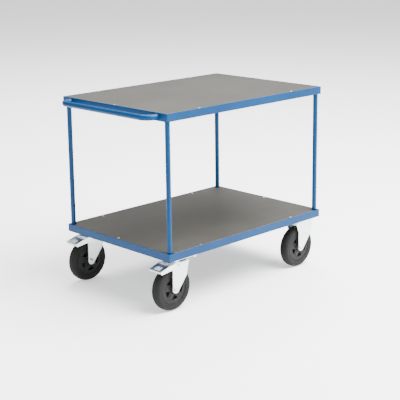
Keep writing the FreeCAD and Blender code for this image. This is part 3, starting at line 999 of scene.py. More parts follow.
@dataclass
class Pattern:
    """Copies of a small shape laid out by a Geometry Nodes tree."""

    layout: Layout
    count: int = 1
    radius: float = 0.0
    rows: int = 1
    spacing: Pair = (0.0, 0.0)
    step: Vector = Vector()
    seed: int = 7
    wobble: float = 0.0

    def _points(self, tree: bpy.types.NodeTree, inputs: bpy.types.Node) -> bpy.types.NodeSocket:
        """Add the node that makes the points.

        Args:
            tree: The tree.
            inputs: Its group input node.

        Returns:
            The points' socket.
        """
        kinds = {Layout.RING: ("GeometryNodeMeshCircle", {"Vertices": "Count", "Radius": "Radius"}),
                 Layout.GRID: ("GeometryNodeMeshGrid", {"Vertices X": "Count", "Vertices Y": "Rows",
                                                        "Size X": "Size X", "Size Y": "Size Y"}),
                 Layout.LINE: ("GeometryNodeMeshLine", {"Count": "Count", "Offset": "Step"})}
        kind, sockets = kinds[self.layout]
        made = tree.nodes.new(kind)
        for name, source in sockets.items():
            tree.links.new(inputs.outputs[source], made.inputs[name])
        return made.outputs[0]

    def _tree(self, name: str) -> bpy.types.NodeTree:
        """Build the tree.

        Args:
            name: The tree's name.

        Returns:
            The tree, with named inputs.
        """
        tree = bpy.data.node_groups.new(name, "GeometryNodeTree")
        face = tree.interface
        for label, kind in (("Geometry", "Geometry"), ("Shape", "Object"), ("Finish", "Material"),
                            ("Count", "Int"), ("Rows", "Int"), ("Radius", "Float"),
                            ("Size X", "Float"), ("Size Y", "Float"), ("Step", "Vector"),
                            ("Shift", "Vector"), ("Turn", "Rotation"), ("Seed", "Int"),
                            ("Wobble", "Float")):
            face.new_socket(label, in_out="INPUT", socket_type="NodeSocket" + kind)
        face.new_socket("Geometry", in_out="OUTPUT", socket_type="NodeSocketGeometry")
        nodes, links = tree.nodes, tree.links
        inputs = nodes.new("NodeGroupInput")
        source = nodes.new("GeometryNodeObjectInfo")
        links.new(inputs.outputs["Shape"], source.inputs["Object"])
        spread = nodes.new("GeometryNodeInstanceOnPoints")
        links.new(self._points(tree, inputs), spread.inputs["Points"])
        links.new(source.outputs["Geometry"], spread.inputs["Instance"])
        order = nodes.new("GeometryNodeInputIndex")
        share = nodes.new("ShaderNodeMath")
        share.operation = "DIVIDE"
        links.new(order.outputs[0], share.inputs[0])
        links.new(inputs.outputs["Count"], share.inputs[1])
        angle = nodes.new("ShaderNodeMath")
        angle.operation = "MULTIPLY"
        angle.inputs[1].default_value = 2.0 * math.pi if self.layout is Layout.RING else 0.0
        links.new(share.outputs[0], angle.inputs[0])
        chance = nodes.new("FunctionNodeRandomValue")
        links.new(inputs.outputs["Seed"], chance.inputs["Seed"])
        chance.inputs[2].default_value = -1.0
        chance.inputs[3].default_value = 1.0
        sway = nodes.new("ShaderNodeMath")
        sway.operation = "MULTIPLY_ADD"
        links.new(chance.outputs[1], sway.inputs[0])
        links.new(inputs.outputs["Wobble"], sway.inputs[1])
        links.new(angle.outputs[0], sway.inputs[2])
        turn = nodes.new("ShaderNodeCombineXYZ")
        links.new(sway.outputs[0], turn.inputs["Z"])
        links.new(turn.outputs[0], spread.inputs["Rotation"])
        real = nodes.new("GeometryNodeRealizeInstances")
        links.new(spread.outputs[0], real.inputs[0])
        put = nodes.new("GeometryNodeTransform")
        links.new(real.outputs[0], put.inputs["Geometry"])
        links.new(inputs.outputs["Shift"], put.inputs["Translation"])
        links.new(inputs.outputs["Turn"], put.inputs["Rotation"])
        coat = nodes.new("GeometryNodeSetMaterial")
        links.new(put.outputs[0], coat.inputs["Geometry"])
        links.new(inputs.outputs["Finish"], coat.inputs["Material"])
        out = nodes.new("NodeGroupOutput")
        links.new(coat.outputs[0], out.inputs[0])
        return tree

    def lay(self, name: str, shape: bpy.types.Object, finish: Finish, at: Vector,
            turn: tuple[float, float, float] = (0.0, 0.0, 0.0)) -> bpy.types.Object:
        """Lay the copies out as one plain mesh.

        Args:
            name: The new object's name.
            shape: The small shape, which stays for further use.
            finish: The finish of all copies.
            at: The centre of the layout.
            turn: The turn of the whole layout, as Euler angles.

        Returns:
            The object with all the copies.
        """
        host = bpy.data.objects.new(name, bpy.data.meshes.new(name))
        bpy.context.collection.objects.link(host)
        tree = self._tree(name + "_layout")
        modifier = host.modifiers.new("layout", "NODES")
        modifier.node_group = tree
        values = {"Shape": shape, "Finish": finish.material(), "Count": self.count,
                  "Rows": self.rows, "Radius": self.radius, "Size X": self.spacing[0],
                  "Size Y": self.spacing[1], "Step": self.step, "Shift": at, "Turn": turn,
                  "Seed": self.seed, "Wobble": self.wobble}
        for item in tree.interface.items_tree:
            if item.in_out == "INPUT" and item.name in values:
                modifier[item.identifier] = values[item.name]
        bake(host)
        bpy.data.node_groups.remove(tree)
        return host


def joined(name: str, parts: Sequence[bpy.types.Object], finish: Finish,
           centre: Vector | None = None) -> bpy.types.Object:
    """Join finished objects into one piece.

    Args:
        name: The new piece's name.
        parts: The objects, which are used up.
        finish: The finish of the whole piece.
        centre: The centre that the finish's local pattern is drawn about.

    Returns:
        The joined piece.
    """
    whole = bmesh.new()
    for part in parts:
        whole.from_mesh(part.data)
    data = bpy.data.meshes.new(name)
    whole.to_mesh(data)
    whole.free()
    data.materials.append(finish.material())
    data.polygons.foreach_set("material_index", [0] * len(data.polygons))
    discard(*parts)
    made = bpy.data.objects.new(name, data)
    bpy.context.collection.objects.link(made)
    if LOCAL in data.attributes:
        data.attributes.remove(data.attributes[LOCAL])
    mark_local(made, centre)
    return made


# ---------------------------------------------------------------- small shared shapes

@dataclass
class HexBolt:
    """A chamfered hexagon head or nut, about Z, and the threaded end beyond it."""

    corner: float = 0.0098
    corners_round: int = 24
    face_share: float = 0.95
    chamfer: float = 0.577

    def ring(self, height: float, sink: float) -> list[Vector]:
        """One ring round the hexagon.

        Args:
            height: The ring's height at the middle of each flat.
            sink: How the corners sink towards the chamfer: 1, -1 or 0.

        Returns:
            The ring's points.
        """
        flat = self.corner * math.cos(math.pi / 6.0)
        points = []
        for index in range(self.corners_round):
            turn = 2.0 * math.pi * index / self.corners_round
            off = (turn + math.pi / 6.0) % (math.pi / 3.0) - math.pi / 6.0
            radius = flat / math.cos(off)
            drop = (radius - flat * self.face_share) * self.chamfer * sink
            points.append(Vector((radius * math.cos(turn), radius * math.sin(turn), height - drop)))
        return points

    def disc(self, height: float, share: float = 1.0) -> list[Vector]:
        """A round ring inside the hexagon's flats."""
        radius = self.corner * math.cos(math.pi / 6.0) * self.face_share * share
        return [Vector((x, y, height)) for x, y in circle(radius, self.corners_round)]

    def head(self, shape: Shape, low: float, high: float, chamfer_low: bool = True,
             chamfer_high: bool = True) -> None:
        """Add a hexagon between two heights.

        Args:
            shape: The shape that gets it.
            low: Its lower end.
            high: Its upper end.
            chamfer_low: Whether its lower corners are cut back.
            chamfer_high: Whether its upper corners are cut back.
        """
        rings = []
        if chamfer_low:
            rings += [self.disc(low), self.ring(low, -1.0)]
        else:
            rings.append(self.ring(low, 0.0))
        if chamfer_high:
            rings += [self.ring(high, 1.0), self.disc(high)]
        else:
            rings.append(self.ring(high, 0.0))
        shape.loft(rings)

    def thread(self, shape: Shape, radius: float, low: float, high: float, pitch: float) -> None:
        """Add a bar with thread rings and a chamfered end.

        Args:
            shape: The shape that gets it.
            radius: The bar's radius.
            low: Its lower end.
            high: Its free end.
            pitch: The distance from one ring to the next.
        """
        root = radius - 0.55 * pitch
        profile = [(0.0, low), (radius, low)]
        height = high - 0.6 * pitch
        turns = max(1, min(6, int((height - low) / pitch)))
        start = height - turns * pitch
        for index in range(turns):
            base = start + index * pitch
            profile += [(radius, base + 0.1 * pitch), (root, base + 0.5 * pitch),
                        (radius, base + 0.9 * pitch)]
        profile += [(root, high), (0.0, high)]
        shape.lathe(profile, Axis.Z, segments=self.corners_round)


def ripple(length: float = 0.0017, width: float = 0.0013, height: float = 0.0012) -> bpy.types.Object:
    """One bead of a weld, as a helper object.

    Args:
        length: Its half size across the weld.
        width: Its half size along the weld.
        height: Its half height.

    Returns:
        The helper.
    """
    bead = Shape().lathe(globe(1.0, 6), Axis.Z, segments=8)
    bead.turned(Matrix.Diagonal((length, width, height, 1.0)))
    return bead.piece("ripple", PAINT, merge=1e-7, weighted=False)


# ---------------------------------------------------------------- decks

@dataclass
class Deck:
    """One deck: four mitred T-section rails, corner welds, a board and its screws."""

    name: str
    notched: bool
    wall: float = 0.004
    ledge: float = 0.040
    ledge_plate: float = 0.004
    corner: float = 0.0035
    corner_steps: int = 4
    edge_round: float = 0.0009
    root_round: float = 0.0025
    weld_pitch: float = 0.0017
    weld_lift: float = 0.0005
    weld_margin: float = 0.004
    board_corner: float = 0.0025
    notch_lip: float = 0.0015
    board_edge: float = 0.0010
    notch: float = 0.034
    notch_round: float = 0.004
    board_gap: float = 0.006
    screw_inset: float = 0.014
    screw_from_end: float = 0.200
    screw_head: float = 0.0060
    screw_shank: float = 0.0025
    screw_sink: float = 0.0032
    screw_dome: float = 0.00045
    recess_arm: float = 0.0031
    recess_width: float = 0.00085
    recess_depth: float = 0.0019

    def __post_init__(self) -> None:
        """Take the deck's place from the frame."""
        boxes = [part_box(f"{self.name}_rail_{side}") for side in ("left", "right", "front", "rear")]
        self.low = Vector([min(box[0][axis] for box in boxes) for axis in range(3)])
        self.high = Vector([max(box[1][axis] for box in boxes) for axis in range(3)])
        self.ledge_top, self.board_top = (corner.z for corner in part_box(f"{self.name}_board"))
        self.under = self.ledge_top - self.ledge_plate
        self.screw_length = self.board_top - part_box(f"{self.name}_board_screws")[0].z

    def section(self) -> Outline:
        """The rail's section: distance in from the outer face, and height.

        Returns:
            The section's outline.
        """
        top, bottom = self.high.z, self.low.z
        ledge_top, under = self.ledge_top, self.under
        corners = [(0.0, bottom), (self.wall, bottom), (self.wall, under), (self.ledge, under),
                   (self.ledge, ledge_top), (self.wall, ledge_top), (self.wall, top), (0.0, top)]
        edge, root = self.edge_round, self.root_round
        return rounded(corners, [edge, edge, root, edge, edge, root, edge, edge], 4)

    def rail(self, side: str) -> bpy.types.Object:
        """Build one rail.

        Args:
            side: left, right, front or rear.

        Returns:
            The rail.
        """
        along_x = side in ("left", "right")
        low, high = (self.low.x, self.high.x) if along_x else (self.low.y, self.high.y)
        places = {"right": lambda a, d, z: Vector((a, self.low.y + d, z)),
                  "left": lambda a, d, z: Vector((a, self.high.y - d, z)),
                  "rear": lambda a, d, z: Vector((self.low.x + d, a, z)),
                  "front": lambda a, d, z: Vector((self.high.x - d, a, z))}
        put = places[side]
        rings = []
        for centre, sign in ((low + self.corner, 1.0), (high - self.corner, -1.0)):
            stations = range(self.corner_steps + 1)
            for station in stations if sign > 0.0 else reversed(stations):
                turn = math.radians(225.0 + 45.0 * station / self.corner_steps)
                ring = []
                for inward, height in self.section():
                    left = max(self.corner - inward, 0.0)
                    extra = max(inward - self.corner, 0.0)
                    ring.append(put(centre + sign * (left * math.cos(turn) + extra),
                                    self.corner + left * math.sin(turn) + extra, height))
                rings.append(ring)
        return Shape().loft(rings).piece(f"{self.name}_frame_{side}", PAINT)

    def welds(self, bead: bpy.types.Object) -> bpy.types.Object:
        """The weld beads along the mitres, under the ledges and inside the walls.

        Args:
            bead: One weld ripple.

        Returns:
            The beads of all four corners.
        """
        under = self.under
        lines = []
        for end, x_out in ((1.0, self.low.x), (-1.0, self.high.x)):
            for side, y_out in ((1.0, self.low.y), (-1.0, self.high.y)):
                inward = self.wall + self.weld_lift
                start = Vector((x_out + end * inward, y_out + side * inward, 0.0))
                diagonal = Vector((end, side, 0.0)) * self.weld_pitch * math.sqrt(0.5)
                count = int((self.ledge - self.wall) * math.sqrt(2.0) / self.weld_pitch)
                upright = int((under - self.low.z - self.weld_margin) / self.weld_pitch)
                corner = f"{self.name}_{end}_{side}"
                for label, number, step, height in (("mitre", count, diagonal, under),
                                                    ("wall", upright, Vector((0, 0, -self.weld_pitch)),
                                                     under - 0.001)):
                    at = Vector((start.x, start.y, height))
                    line = Pattern(Layout.LINE, count=number, step=step, wobble=0.5)
                    lines.append(line.lay(f"{label}_{corner}", bead, PAINT, at))
        return joined(f"{self.name}_corner_welds", lines, PAINT)

    def board(self) -> bpy.types.Object:
        """The board, notched at its corners where the posts pass.

        Returns:
            The board.
        """
        low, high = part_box(f"{self.name}_board")
        if self.notched:
            cut = self.notch - self.board_gap
            corners = []
            for x, dx, y, dy in ((low.x, 1, low.y, 1), (high.x, -1, low.y, 1),
                                 (high.x, -1, high.y, -1), (low.x, 1, high.y, -1)):
                along = (x + dx * cut, y)
                inside = (x + dx * cut, y + dy * cut)
                across = (x, y + dy * cut)
                corners += [across, inside, along] if dx == dy else [along, inside, across]
            outline = rounded(corners, [self.notch_lip, self.notch_round, self.notch_lip] * 4, 4)
        else:
            outline = rounded(rectangle((low.x, low.y), (high.x, high.y)), self.board_corner, 4)
        shape = Shape().prism(outline, low.z, high.z, Axis.Z)
        return shape.piece(f"{self.name}_deck_board", FILM, self.board_edge, 3)

    def screw(self) -> bpy.types.Object:
        """One countersunk screw with a cross recess, as a helper.

        Returns:
            The helper.
        """
        segments = 32
        rings: list[list[Vector]] = [[Vector((0.0, 0.0, -self.screw_length))]]
        for radius, height in ((self.screw_shank * 0.7, -self.screw_length + 0.001),
                               (self.screw_shank, -self.screw_length + 0.0028),
                               (self.screw_shank, -self.screw_sink),
                               (self.screw_head * 0.99, -0.00015), (self.screw_head, 0.00004),
                               (self.screw_head * 0.93, self.screw_dome * 0.45),
                               (self.screw_head * 0.74, self.screw_dome * 0.85)):
            rings.append([Vector((x, y, height)) for x, y in circle(radius, segments)])
        for share, height in ((1.06, self.screw_dome), (1.0, self.screw_dome * 0.5),
                              (0.62, -self.recess_depth)):
            ring = []
            for index in range(segments):
                turn = 2.0 * math.pi * index / segments
                off = abs((turn + math.pi / 4.0) % (math.pi / 2.0) - math.pi / 4.0)
                radius = min(self.recess_arm, self.recess_width / max(math.sin(off), 0.001)) * share
                ring.append(Vector((radius * math.cos(turn), radius * math.sin(turn), height)))
            rings.append(ring)
        rings.append([Vector((0.0, 0.0, -self.recess_depth - 0.0004))])
        return Shape().loft(rings).piece("board_screw", BRIGHT, weighted=False)

    def screws(self) -> bpy.types.Object:
        """All the board's screws.

        Returns:
            The screws, as one piece.
        """
        screw = self.screw()
        size = self.high - self.low
        centre = (self.low + self.high) / 2.0
        top = self.board_top
        sides = Pattern(Layout.GRID, count=2, rows=2, wobble=0.8,
                        spacing=(size.x - 2.0 * self.screw_from_end, size.y - 2.0 * self.screw_inset))
        ends = Pattern(Layout.LINE, count=2, seed=11, wobble=0.8,
                       step=Vector((size.x - 2.0 * self.screw_inset, 0.0, 0.0)))
        made = [sides.lay("side_screws", screw, BRIGHT, Vector((centre.x, centre.y, top))),
                ends.lay("end_screws", screw, BRIGHT,
                         Vector((self.low.x + self.screw_inset, centre.y, top)))]
        discard(screw)
        return joined(f"{self.name}_screw_heads", made, BRIGHT)

    def build(self, bead: bpy.types.Object) -> None:
        """Build and mount the whole deck.

        Args:
            bead: One weld ripple.
        """
        for side in ("left", "right", "front", "rear"):
            mount(self.rail(side), "chassis", Slot.PAINT, f"{self.name}_rail_{side}")
        mount(self.welds(bead), "chassis", Slot.PAINT)
        mount(self.board(), "chassis", Slot.BOARD, f"{self.name}_board")
        mount(self.screws(), "chassis", Slot.BRIGHT, f"{self.name}_board_screws")


@dataclass
class Posts:
    """The four round posts, with a weld round each end."""

    wall: float = 0.002
    edge: float = 0.0004
    segments: int = 40
    ripples: int = 30

    def build(self, bead: bpy.types.Object) -> None:
        """Build and mount the posts and their welds.

        Args:
            bead: One weld ripple.
        """
        rings = []
        for end in ("rear", "front"):
            for side in SIDES:
                node = f"post_{end}_{side}"
                low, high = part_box(node)
                centre = middle(node)
                centre.z = 0.0
                radius = (high.x - low.x) / 2.0
                edge = self.edge
                profile = [(radius - edge, low.z), (radius, low.z + edge), (radius, high.z - edge),
                           (radius - edge, high.z), (radius - self.wall, high.z),
                           (radius - self.wall, low.z)]
                tube = Shape().lathe(profile, Axis.Z, centre, self.segments, closed=True)
                mount(tube.piece(f"tube_{node}", PAINT), "chassis", Slot.PAINT, node)
                for label, height in (("foot", low.z + edge), ("head", high.z - edge)):
                    ring = Pattern(Layout.RING, count=self.ripples, radius=radius + edge, wobble=0.25)
                    at = Vector((centre.x, centre.y, height))
                    rings.append(ring.lay(f"{node}_{label}", bead, PAINT, at))
        mount(joined("post_welds", rings, PAINT), "chassis", Slot.PAINT)


@dataclass
class PushHandle:
    """The bent tube on the upper deck's short side."""

    bend: float = 0.045
    bend_steps: int = 14
    segments: int = 36
    ripples: int = 30

    def build(self, bead: bpy.types.Object) -> None:
        """Build and mount the handle and the welds round its legs.

        Args:
            bead: One weld ripple.
        """
        low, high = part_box("push_handle")
        radius = (high.z - low.z) / 2.0
        height = (high.z + low.z) / 2.0
        bar = low.x + radius
        leg = high.y - radius
        path = [(high.x, -leg)]
        path += arc((bar + self.bend, -leg + self.bend), self.bend, 270.0, 180.0, self.bend_steps)
        path += [(bar, y) for y in (-0.6 * (leg - self.bend), 0.0, 0.6 * (leg - self.bend))]
        path += arc((bar + self.bend, leg - self.bend), self.bend, 180.0, 90.0, self.bend_steps)
        path.append((high.x, leg))
        points = [Vector((x, y, height)) for x, y in path]
        rings = []
        for index, point in enumerate(points):
            before = points[max(index - 1, 0)]
            after = points[min(index + 1, len(points) - 1)]
            run = (point - before).normalized() + (after - point).normalized()
            out = run.normalized().cross(Axis.Z.vector)
            rings.append([point + out * (radius * x) + Axis.Z.vector * (radius * z)
                          for x, z in circle(1.0, self.segments)])
        mount(Shape().loft(rings).piece("handle_tube", PAINT), "chassis", Slot.PAINT, "push_handle")
        welds = []
        for side in (-1.0, 1.0):
            ring = Pattern(Layout.RING, count=self.ripples, radius=radius - 0.0005, wobble=0.25)
            at = Vector((high.x - 0.0006, side * leg, height))
            welds.append(ring.lay(f"handle_weld_{side}", bead, PAINT, at, (0.0, math.pi / 2.0, 0.0)))
        mount(joined("handle_welds", welds, PAINT), "chassis", Slot.PAINT)


@dataclass
class CrossMembers:
    """The folded channels that the casters bolt to, and the upper board's stiffener."""

    plate: float = 0.003
    bend: float = 0.005
    web: float = 0.003
    edge: float = 0.0005
    root: float = 0.0015

    def channel(self, end: str) -> bpy.types.Object:
        """One folded channel.

        Args:
            end: rear or front.

        Returns:
            The channel.
        """
        low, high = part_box(f"caster_channel_{end}")
        thick = self.plate
        corners = [(low.x, high.z), (low.x, low.z), (high.x, low.z), (high.x, high.z),
                   (high.x - thick, high.z), (high.x - thick, low.z + thick),
                   (low.x + thick, low.z + thick), (low.x + thick, high.z)]
        inner = self.bend - thick
        outline = rounded(corners, [0.0, self.bend, self.bend, 0.0, 0.0, inner, inner, 0.0], 5)
        shape = Shape().prism(outline, low.y, high.y, Axis.Y)
        return shape.piece(f"folded_channel_{end}", PAINT, 0.0005)

    def stiffener(self) -> bpy.types.Object:
        """The angle under the upper board.

        Returns:
            The stiffener.
        """
        low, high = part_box("upper_stiffener")
        centre = (low.x + high.x) / 2.0
        half = self.web / 2.0
        shelf = high.z - self.plate
        left, right = centre - half, centre + half
        corners = [(low.x, shelf), (left, shelf), (left, low.z), (right, low.z),
                   (right, shelf), (high.x, shelf), (high.x, high.z), (low.x, high.z)]
        edge, root = self.edge, self.root
        outline = rounded(corners, [edge, root, edge, edge, root, edge, edge, edge], 3)
        return Shape().prism(outline, low.y, high.y, Axis.Y).piece("board_stiffener", PAINT, 0.0003)

    def build(self) -> None:
        """Build and mount the cross members."""
        for end in ("rear", "front"):
            mount(self.channel(end), "chassis", Slot.PAINT, f"caster_channel_{end}")
        mount(self.stiffener(), "chassis", Slot.PAINT, "upper_stiffener")


# ---------------------------------------------------------------- casters

@dataclass
class CasterBolts:
    """Four bolts, washers and nuts between one caster plate and its channel."""

    end: str
    side: str
    bolt: HexBolt
    shank: float = 0.005
    head: float = 0.0064
    stack: float = 0.007
    washer: float = 0.002
    washer_radius: float = 0.010
    nut: float = 0.008
    pitch: float = 0.0015

    def build(self) -> None:
        """Build and mount the bolts."""
        node = f"caster_bolts_{self.end}_{self.side}"
        low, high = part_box(node)
        shape = Shape()
        self.bolt.head(shape, -self.head, 0.0, True, False)
        nut_low = self.stack + self.washer
        shape.lathe(disc(self.washer_radius, self.stack, nut_low, WASHER_EDGE), Axis.Z)
        self.bolt.head(shape, nut_low, nut_low + self.nut)
        self.bolt.thread(shape, self.shank, -0.001, high.z - low.z - self.head, self.pitch)
        source = shape.piece("caster_bolt", BRIGHT, weighted=False)
        size = (high.x - low.x - 2.0 * self.washer_radius, high.y - low.y - 2.0 * self.washer_radius)
        grid = Pattern(Layout.GRID, count=2, rows=2, spacing=size, wobble=0.6,
                       seed=3 if self.side == "left" else 5)
        at = Vector(((low.x + high.x) / 2.0, (low.y + high.y) / 2.0, low.z + self.head))
        mount(grid.lay(f"plate_{node}", source, BRIGHT, at), "chassis", Slot.BRIGHT, node)
        discard(source)


@dataclass
class Wheel:
    """Tyre, hub, bearing, sleeve and axle bolt of one caster."""

    end: str
    side: str
    bolt: HexBolt
    axle_body: str
    rim: float = 0.068
    shoulder: float = 0.010
    tread_flat: float = 0.005
    line: float = 0.0006
    rim_half: float = 0.020
    web_half: float = 0.008
    rim_inner: float = 0.0495
    barrel: float = 0.024
    bore: float = 0.0151
    ribs: int = 5
    first_rib: float = 22.0
    rib_low: float = 0.0268
    pocket_half: float = 21.0
    sleeve: float = 0.010
    roller: float = 0.0024
    roller_edge: float = 0.0004
    rollers: int = 12
    cage: float = 0.003
    roller_half: float = 0.020
    fork_half: float = FORK_HALF
    axle: float = 0.006
    head: float = 0.0075
    nut: float = 0.010
    beyond: float = 0.003
    pitch: float = 0.00175
    washer: float = 0.0016
    washer_share: float = 1.12
    segments: int = 96

    def __post_init__(self) -> None:
        """Take the wheel's place from the frame."""
        self.tag = f"{self.end}_{self.side}"
        low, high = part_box(f"tyre_{self.tag}")
        self.centre = middle(f"tyre_{self.tag}")
        self.radius = (high.z - low.z) / 2.0
        self.half = (high.y - low.y) / 2.0
        self.body = f"wheel_{self.tag}"

    def tyre(self) -> bpy.types.Object:
        """The solid tyre, with a mould line and rings on its sides.

        Returns:
            The tyre.
        """
        reach = self.half - self.tread_flat
        curve = (reach ** 2 + self.shoulder ** 2) / (2.0 * self.shoulder)
        sweep = math.degrees(math.asin(reach / curve))
        start = (self.radius - curve, self.tread_flat)
        crown = [(start[0] + curve * math.cos(math.radians(sweep * step / 10.0)),
                  start[1] + curve * math.sin(math.radians(sweep * step / 10.0)))
                 for step in range(11)]
        line = self.line
        half_side = [(self.radius, 0.0), (self.radius, 0.7 * line),
                     (self.radius - line * 0.6, 1.1 * line), (self.radius - line * 0.25, 2.2 * line)]
        half_side += [(self.radius - line * 0.1, self.tread_flat * 0.6)] + crown
        shoulder = self.radius - self.shoulder
        for ring, depth in ((shoulder - 0.0015, 0.0), (shoulder - 0.0022, 0.0008),
                            (shoulder - 0.0034, 0.0008), (shoulder - 0.0041, 0.0),
                            (self.rim + 0.0085, 0.0), (self.rim + 0.0078, 0.0010),
                            (self.rim + 0.0045, 0.0010), (self.rim + 0.0038, 0.0002),
                            (self.rim + 0.0006, 0.0004), (self.rim, 0.0010)):
            half_side.append((ring, self.half - depth))
        mirrored = [(radius, -along) for radius, along in reversed(half_side[1:])]
        shape = Shape().lathe(mirrored + half_side, Axis.Y, self.centre, self.segments, closed=True)
        return shape.piece(f"solid_tyre_{self.tag}", RUBBER, centre=self.centre)

    def hub(self) -> bpy.types.Object:
        """The hub's turned body: rim, web and barrel, with a raised lip on each face.

        Returns:
            The hub's body.
        """
        low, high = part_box(f"hub_{self.tag}")
        half = (high.y - low.y) / 2.0
        side = [(self.bore, half - 0.0008), (self.bore + 0.0008, half), (self.barrel - 0.0052, half),
                (self.barrel - 0.0045, half - 0.0006), (self.barrel - 0.0010, self.rim_half + 0.0012),
                (self.barrel, self.rim_half - 0.0005), (self.barrel + 0.0010, self.web_half + 0.0014),
                (self.barrel + 0.0024, self.web_half), (self.rim_inner - 0.0022, self.web_half),
                (self.rim_inner - 0.0004, self.web_half + 0.0016),
                (self.rim_inner, self.rim_half - 0.0008),
                (self.rim_inner + 0.0008, self.rim_half), (self.rim - 0.0032, self.rim_half),
                (self.rim - 0.0026, self.rim_half + 0.0012), (self.rim - 0.0006, self.rim_half + 0.0012),
                (self.rim, self.rim_half + 0.0004)]
        mirrored = [(radius, -along) for radius, along in reversed(side)]
        shape = Shape().lathe(mirrored + side, Axis.Y, self.centre, self.segments, closed=True)
        return shape.piece(f"hub_body_{self.tag}", NYLON, centre=self.centre)

    def rib(self) -> bpy.types.Object:
        """The wedge between two pockets, on both faces, as a helper.

        Returns:
            The helper.
        """
        gap = 180.0 / self.ribs
        narrow = math.radians(gap - self.pocket_half)
        wide = math.radians(gap)

        def polar(radius: float, turn: float) -> Pair:
            """A point from its radius and angle."""
            return (radius * math.cos(turn), radius * math.sin(turn))

        outer = self.rim_inner + 0.0006
        knee = self.rim_inner - 0.0020
        inner = self.barrel - 0.0012
        corners = [polar(inner, wide), polar(inner, -wide), polar(self.rib_low, -wide),
                   polar(knee, -narrow), polar(outer, -narrow), polar(outer, narrow),
                   polar(knee, narrow), polar(self.rib_low, wide)]
        outline = rounded(corners, [0.0, 0.0, 0.0, 0.0010, 0.0, 0.0, 0.0010, 0.0], 3)
        shape = Shape()
        for low, high in ((self.web_half - 0.0005, self.rim_half - 0.0004),
                          (-self.rim_half + 0.0004, -self.web_half + 0.0005)):
            shape.prism(outline, low, high, Axis.Z)
        return shape.piece("hub_rib", NYLON, 0.0006, weighted=False)

    def bearing(self) -> bpy.types.Object:
        """The ring of rollers and its two guide rings.

        Returns:
            The bearing.
        """
        radius, half = self.roller, self.roller_half
        one = Shape().lathe(disc(radius, -half, half, self.roller_edge), Axis.Z, segments=16)
        one = one.piece("roller", STEEL, weighted=False)
        circle_radius = (self.sleeve + self.bore) / 2.0 - 0.00005
        ring = Pattern(Layout.RING, count=self.rollers, radius=circle_radius)
        rollers = ring.lay("rollers", one, STEEL, self.centre, (math.pi / 2.0, 0.0, 0.0))
        discard(one)
        cages = Shape()
        for near, away in ((half, half + self.cage), (-half - self.cage, -half)):
            cages.lathe([(self.sleeve + 0.0002, near), (self.bore - 0.0002, near),
                         (self.bore - 0.0002, away), (self.sleeve + 0.0002, away)],
                        Axis.Y, self.centre, 48, closed=True)
        return joined(f"rollers_{self.tag}", [rollers, cages.piece("cages", STEEL, 0.0003)], STEEL)

    def axle_bolt(self) -> bpy.types.Object:
        """The axle bolt with its head outwards, washers and nut.

        Returns:
            The bolt.
        """
        shape = Shape()
        face = self.fork_half
        for low, high in ((face - 0.0002, face + self.washer), (-face - self.washer, -face + 0.0002)):
            radius = self.bolt.corner * self.washer_share
            shape.lathe(disc(radius, low, high, WASHER_EDGE), Axis.Z, segments=32)
        self.bolt.head(shape, -face - self.head, -face - self.washer, True, False)
        self.bolt.head(shape, face + self.washer, face + self.nut)
        self.bolt.thread(shape, self.axle, -face, face + self.nut + self.beyond, self.pitch)
        outward = 1.0 if self.side == "right" else -1.0
        shape.turned(Matrix.Translation(self.centre) @ Matrix.Rotation(-outward * math.pi / 2.0, 4, "X"))
        return shape.piece(f"axle_{self.tag}", BRIGHT)

    def build(self) -> None:
        """Build and mount the wheel."""
        mount(self.tyre(), self.body, Slot.TYRE, f"tyre_{self.tag}")
        mount(self.hub(), self.body, Slot.HUB, f"hub_{self.tag}")
        rib = self.rib()
        ring = Pattern(Layout.RING, count=self.ribs)
        turn = (math.pi / 2.0, -math.radians(self.first_rib), 0.0)
        ribs = ring.lay(f"hub_ribs_{self.tag}", rib, NYLON, self.centre, turn)
        discard(rib)
        mark_local(ribs, self.centre)
        mount(ribs, self.body, Slot.HUB)
        mount(self.bearing(), self.body, Slot.STEEL, f"roller_bearing_{self.tag}")
        mount(self.axle_bolt(), self.axle_body, Slot.BRIGHT, f"axle_bolt_{self.tag}")
        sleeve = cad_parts[f"axle_sleeve_{self.tag}"]
        for place in sleeve.material_slots:
            place.material = STEEL.material()


class ForkKind(Enum):
    """Whether a fork turns or is welded to its plate."""

    SWIVEL = "swivel"
    FIXED = "fixed"


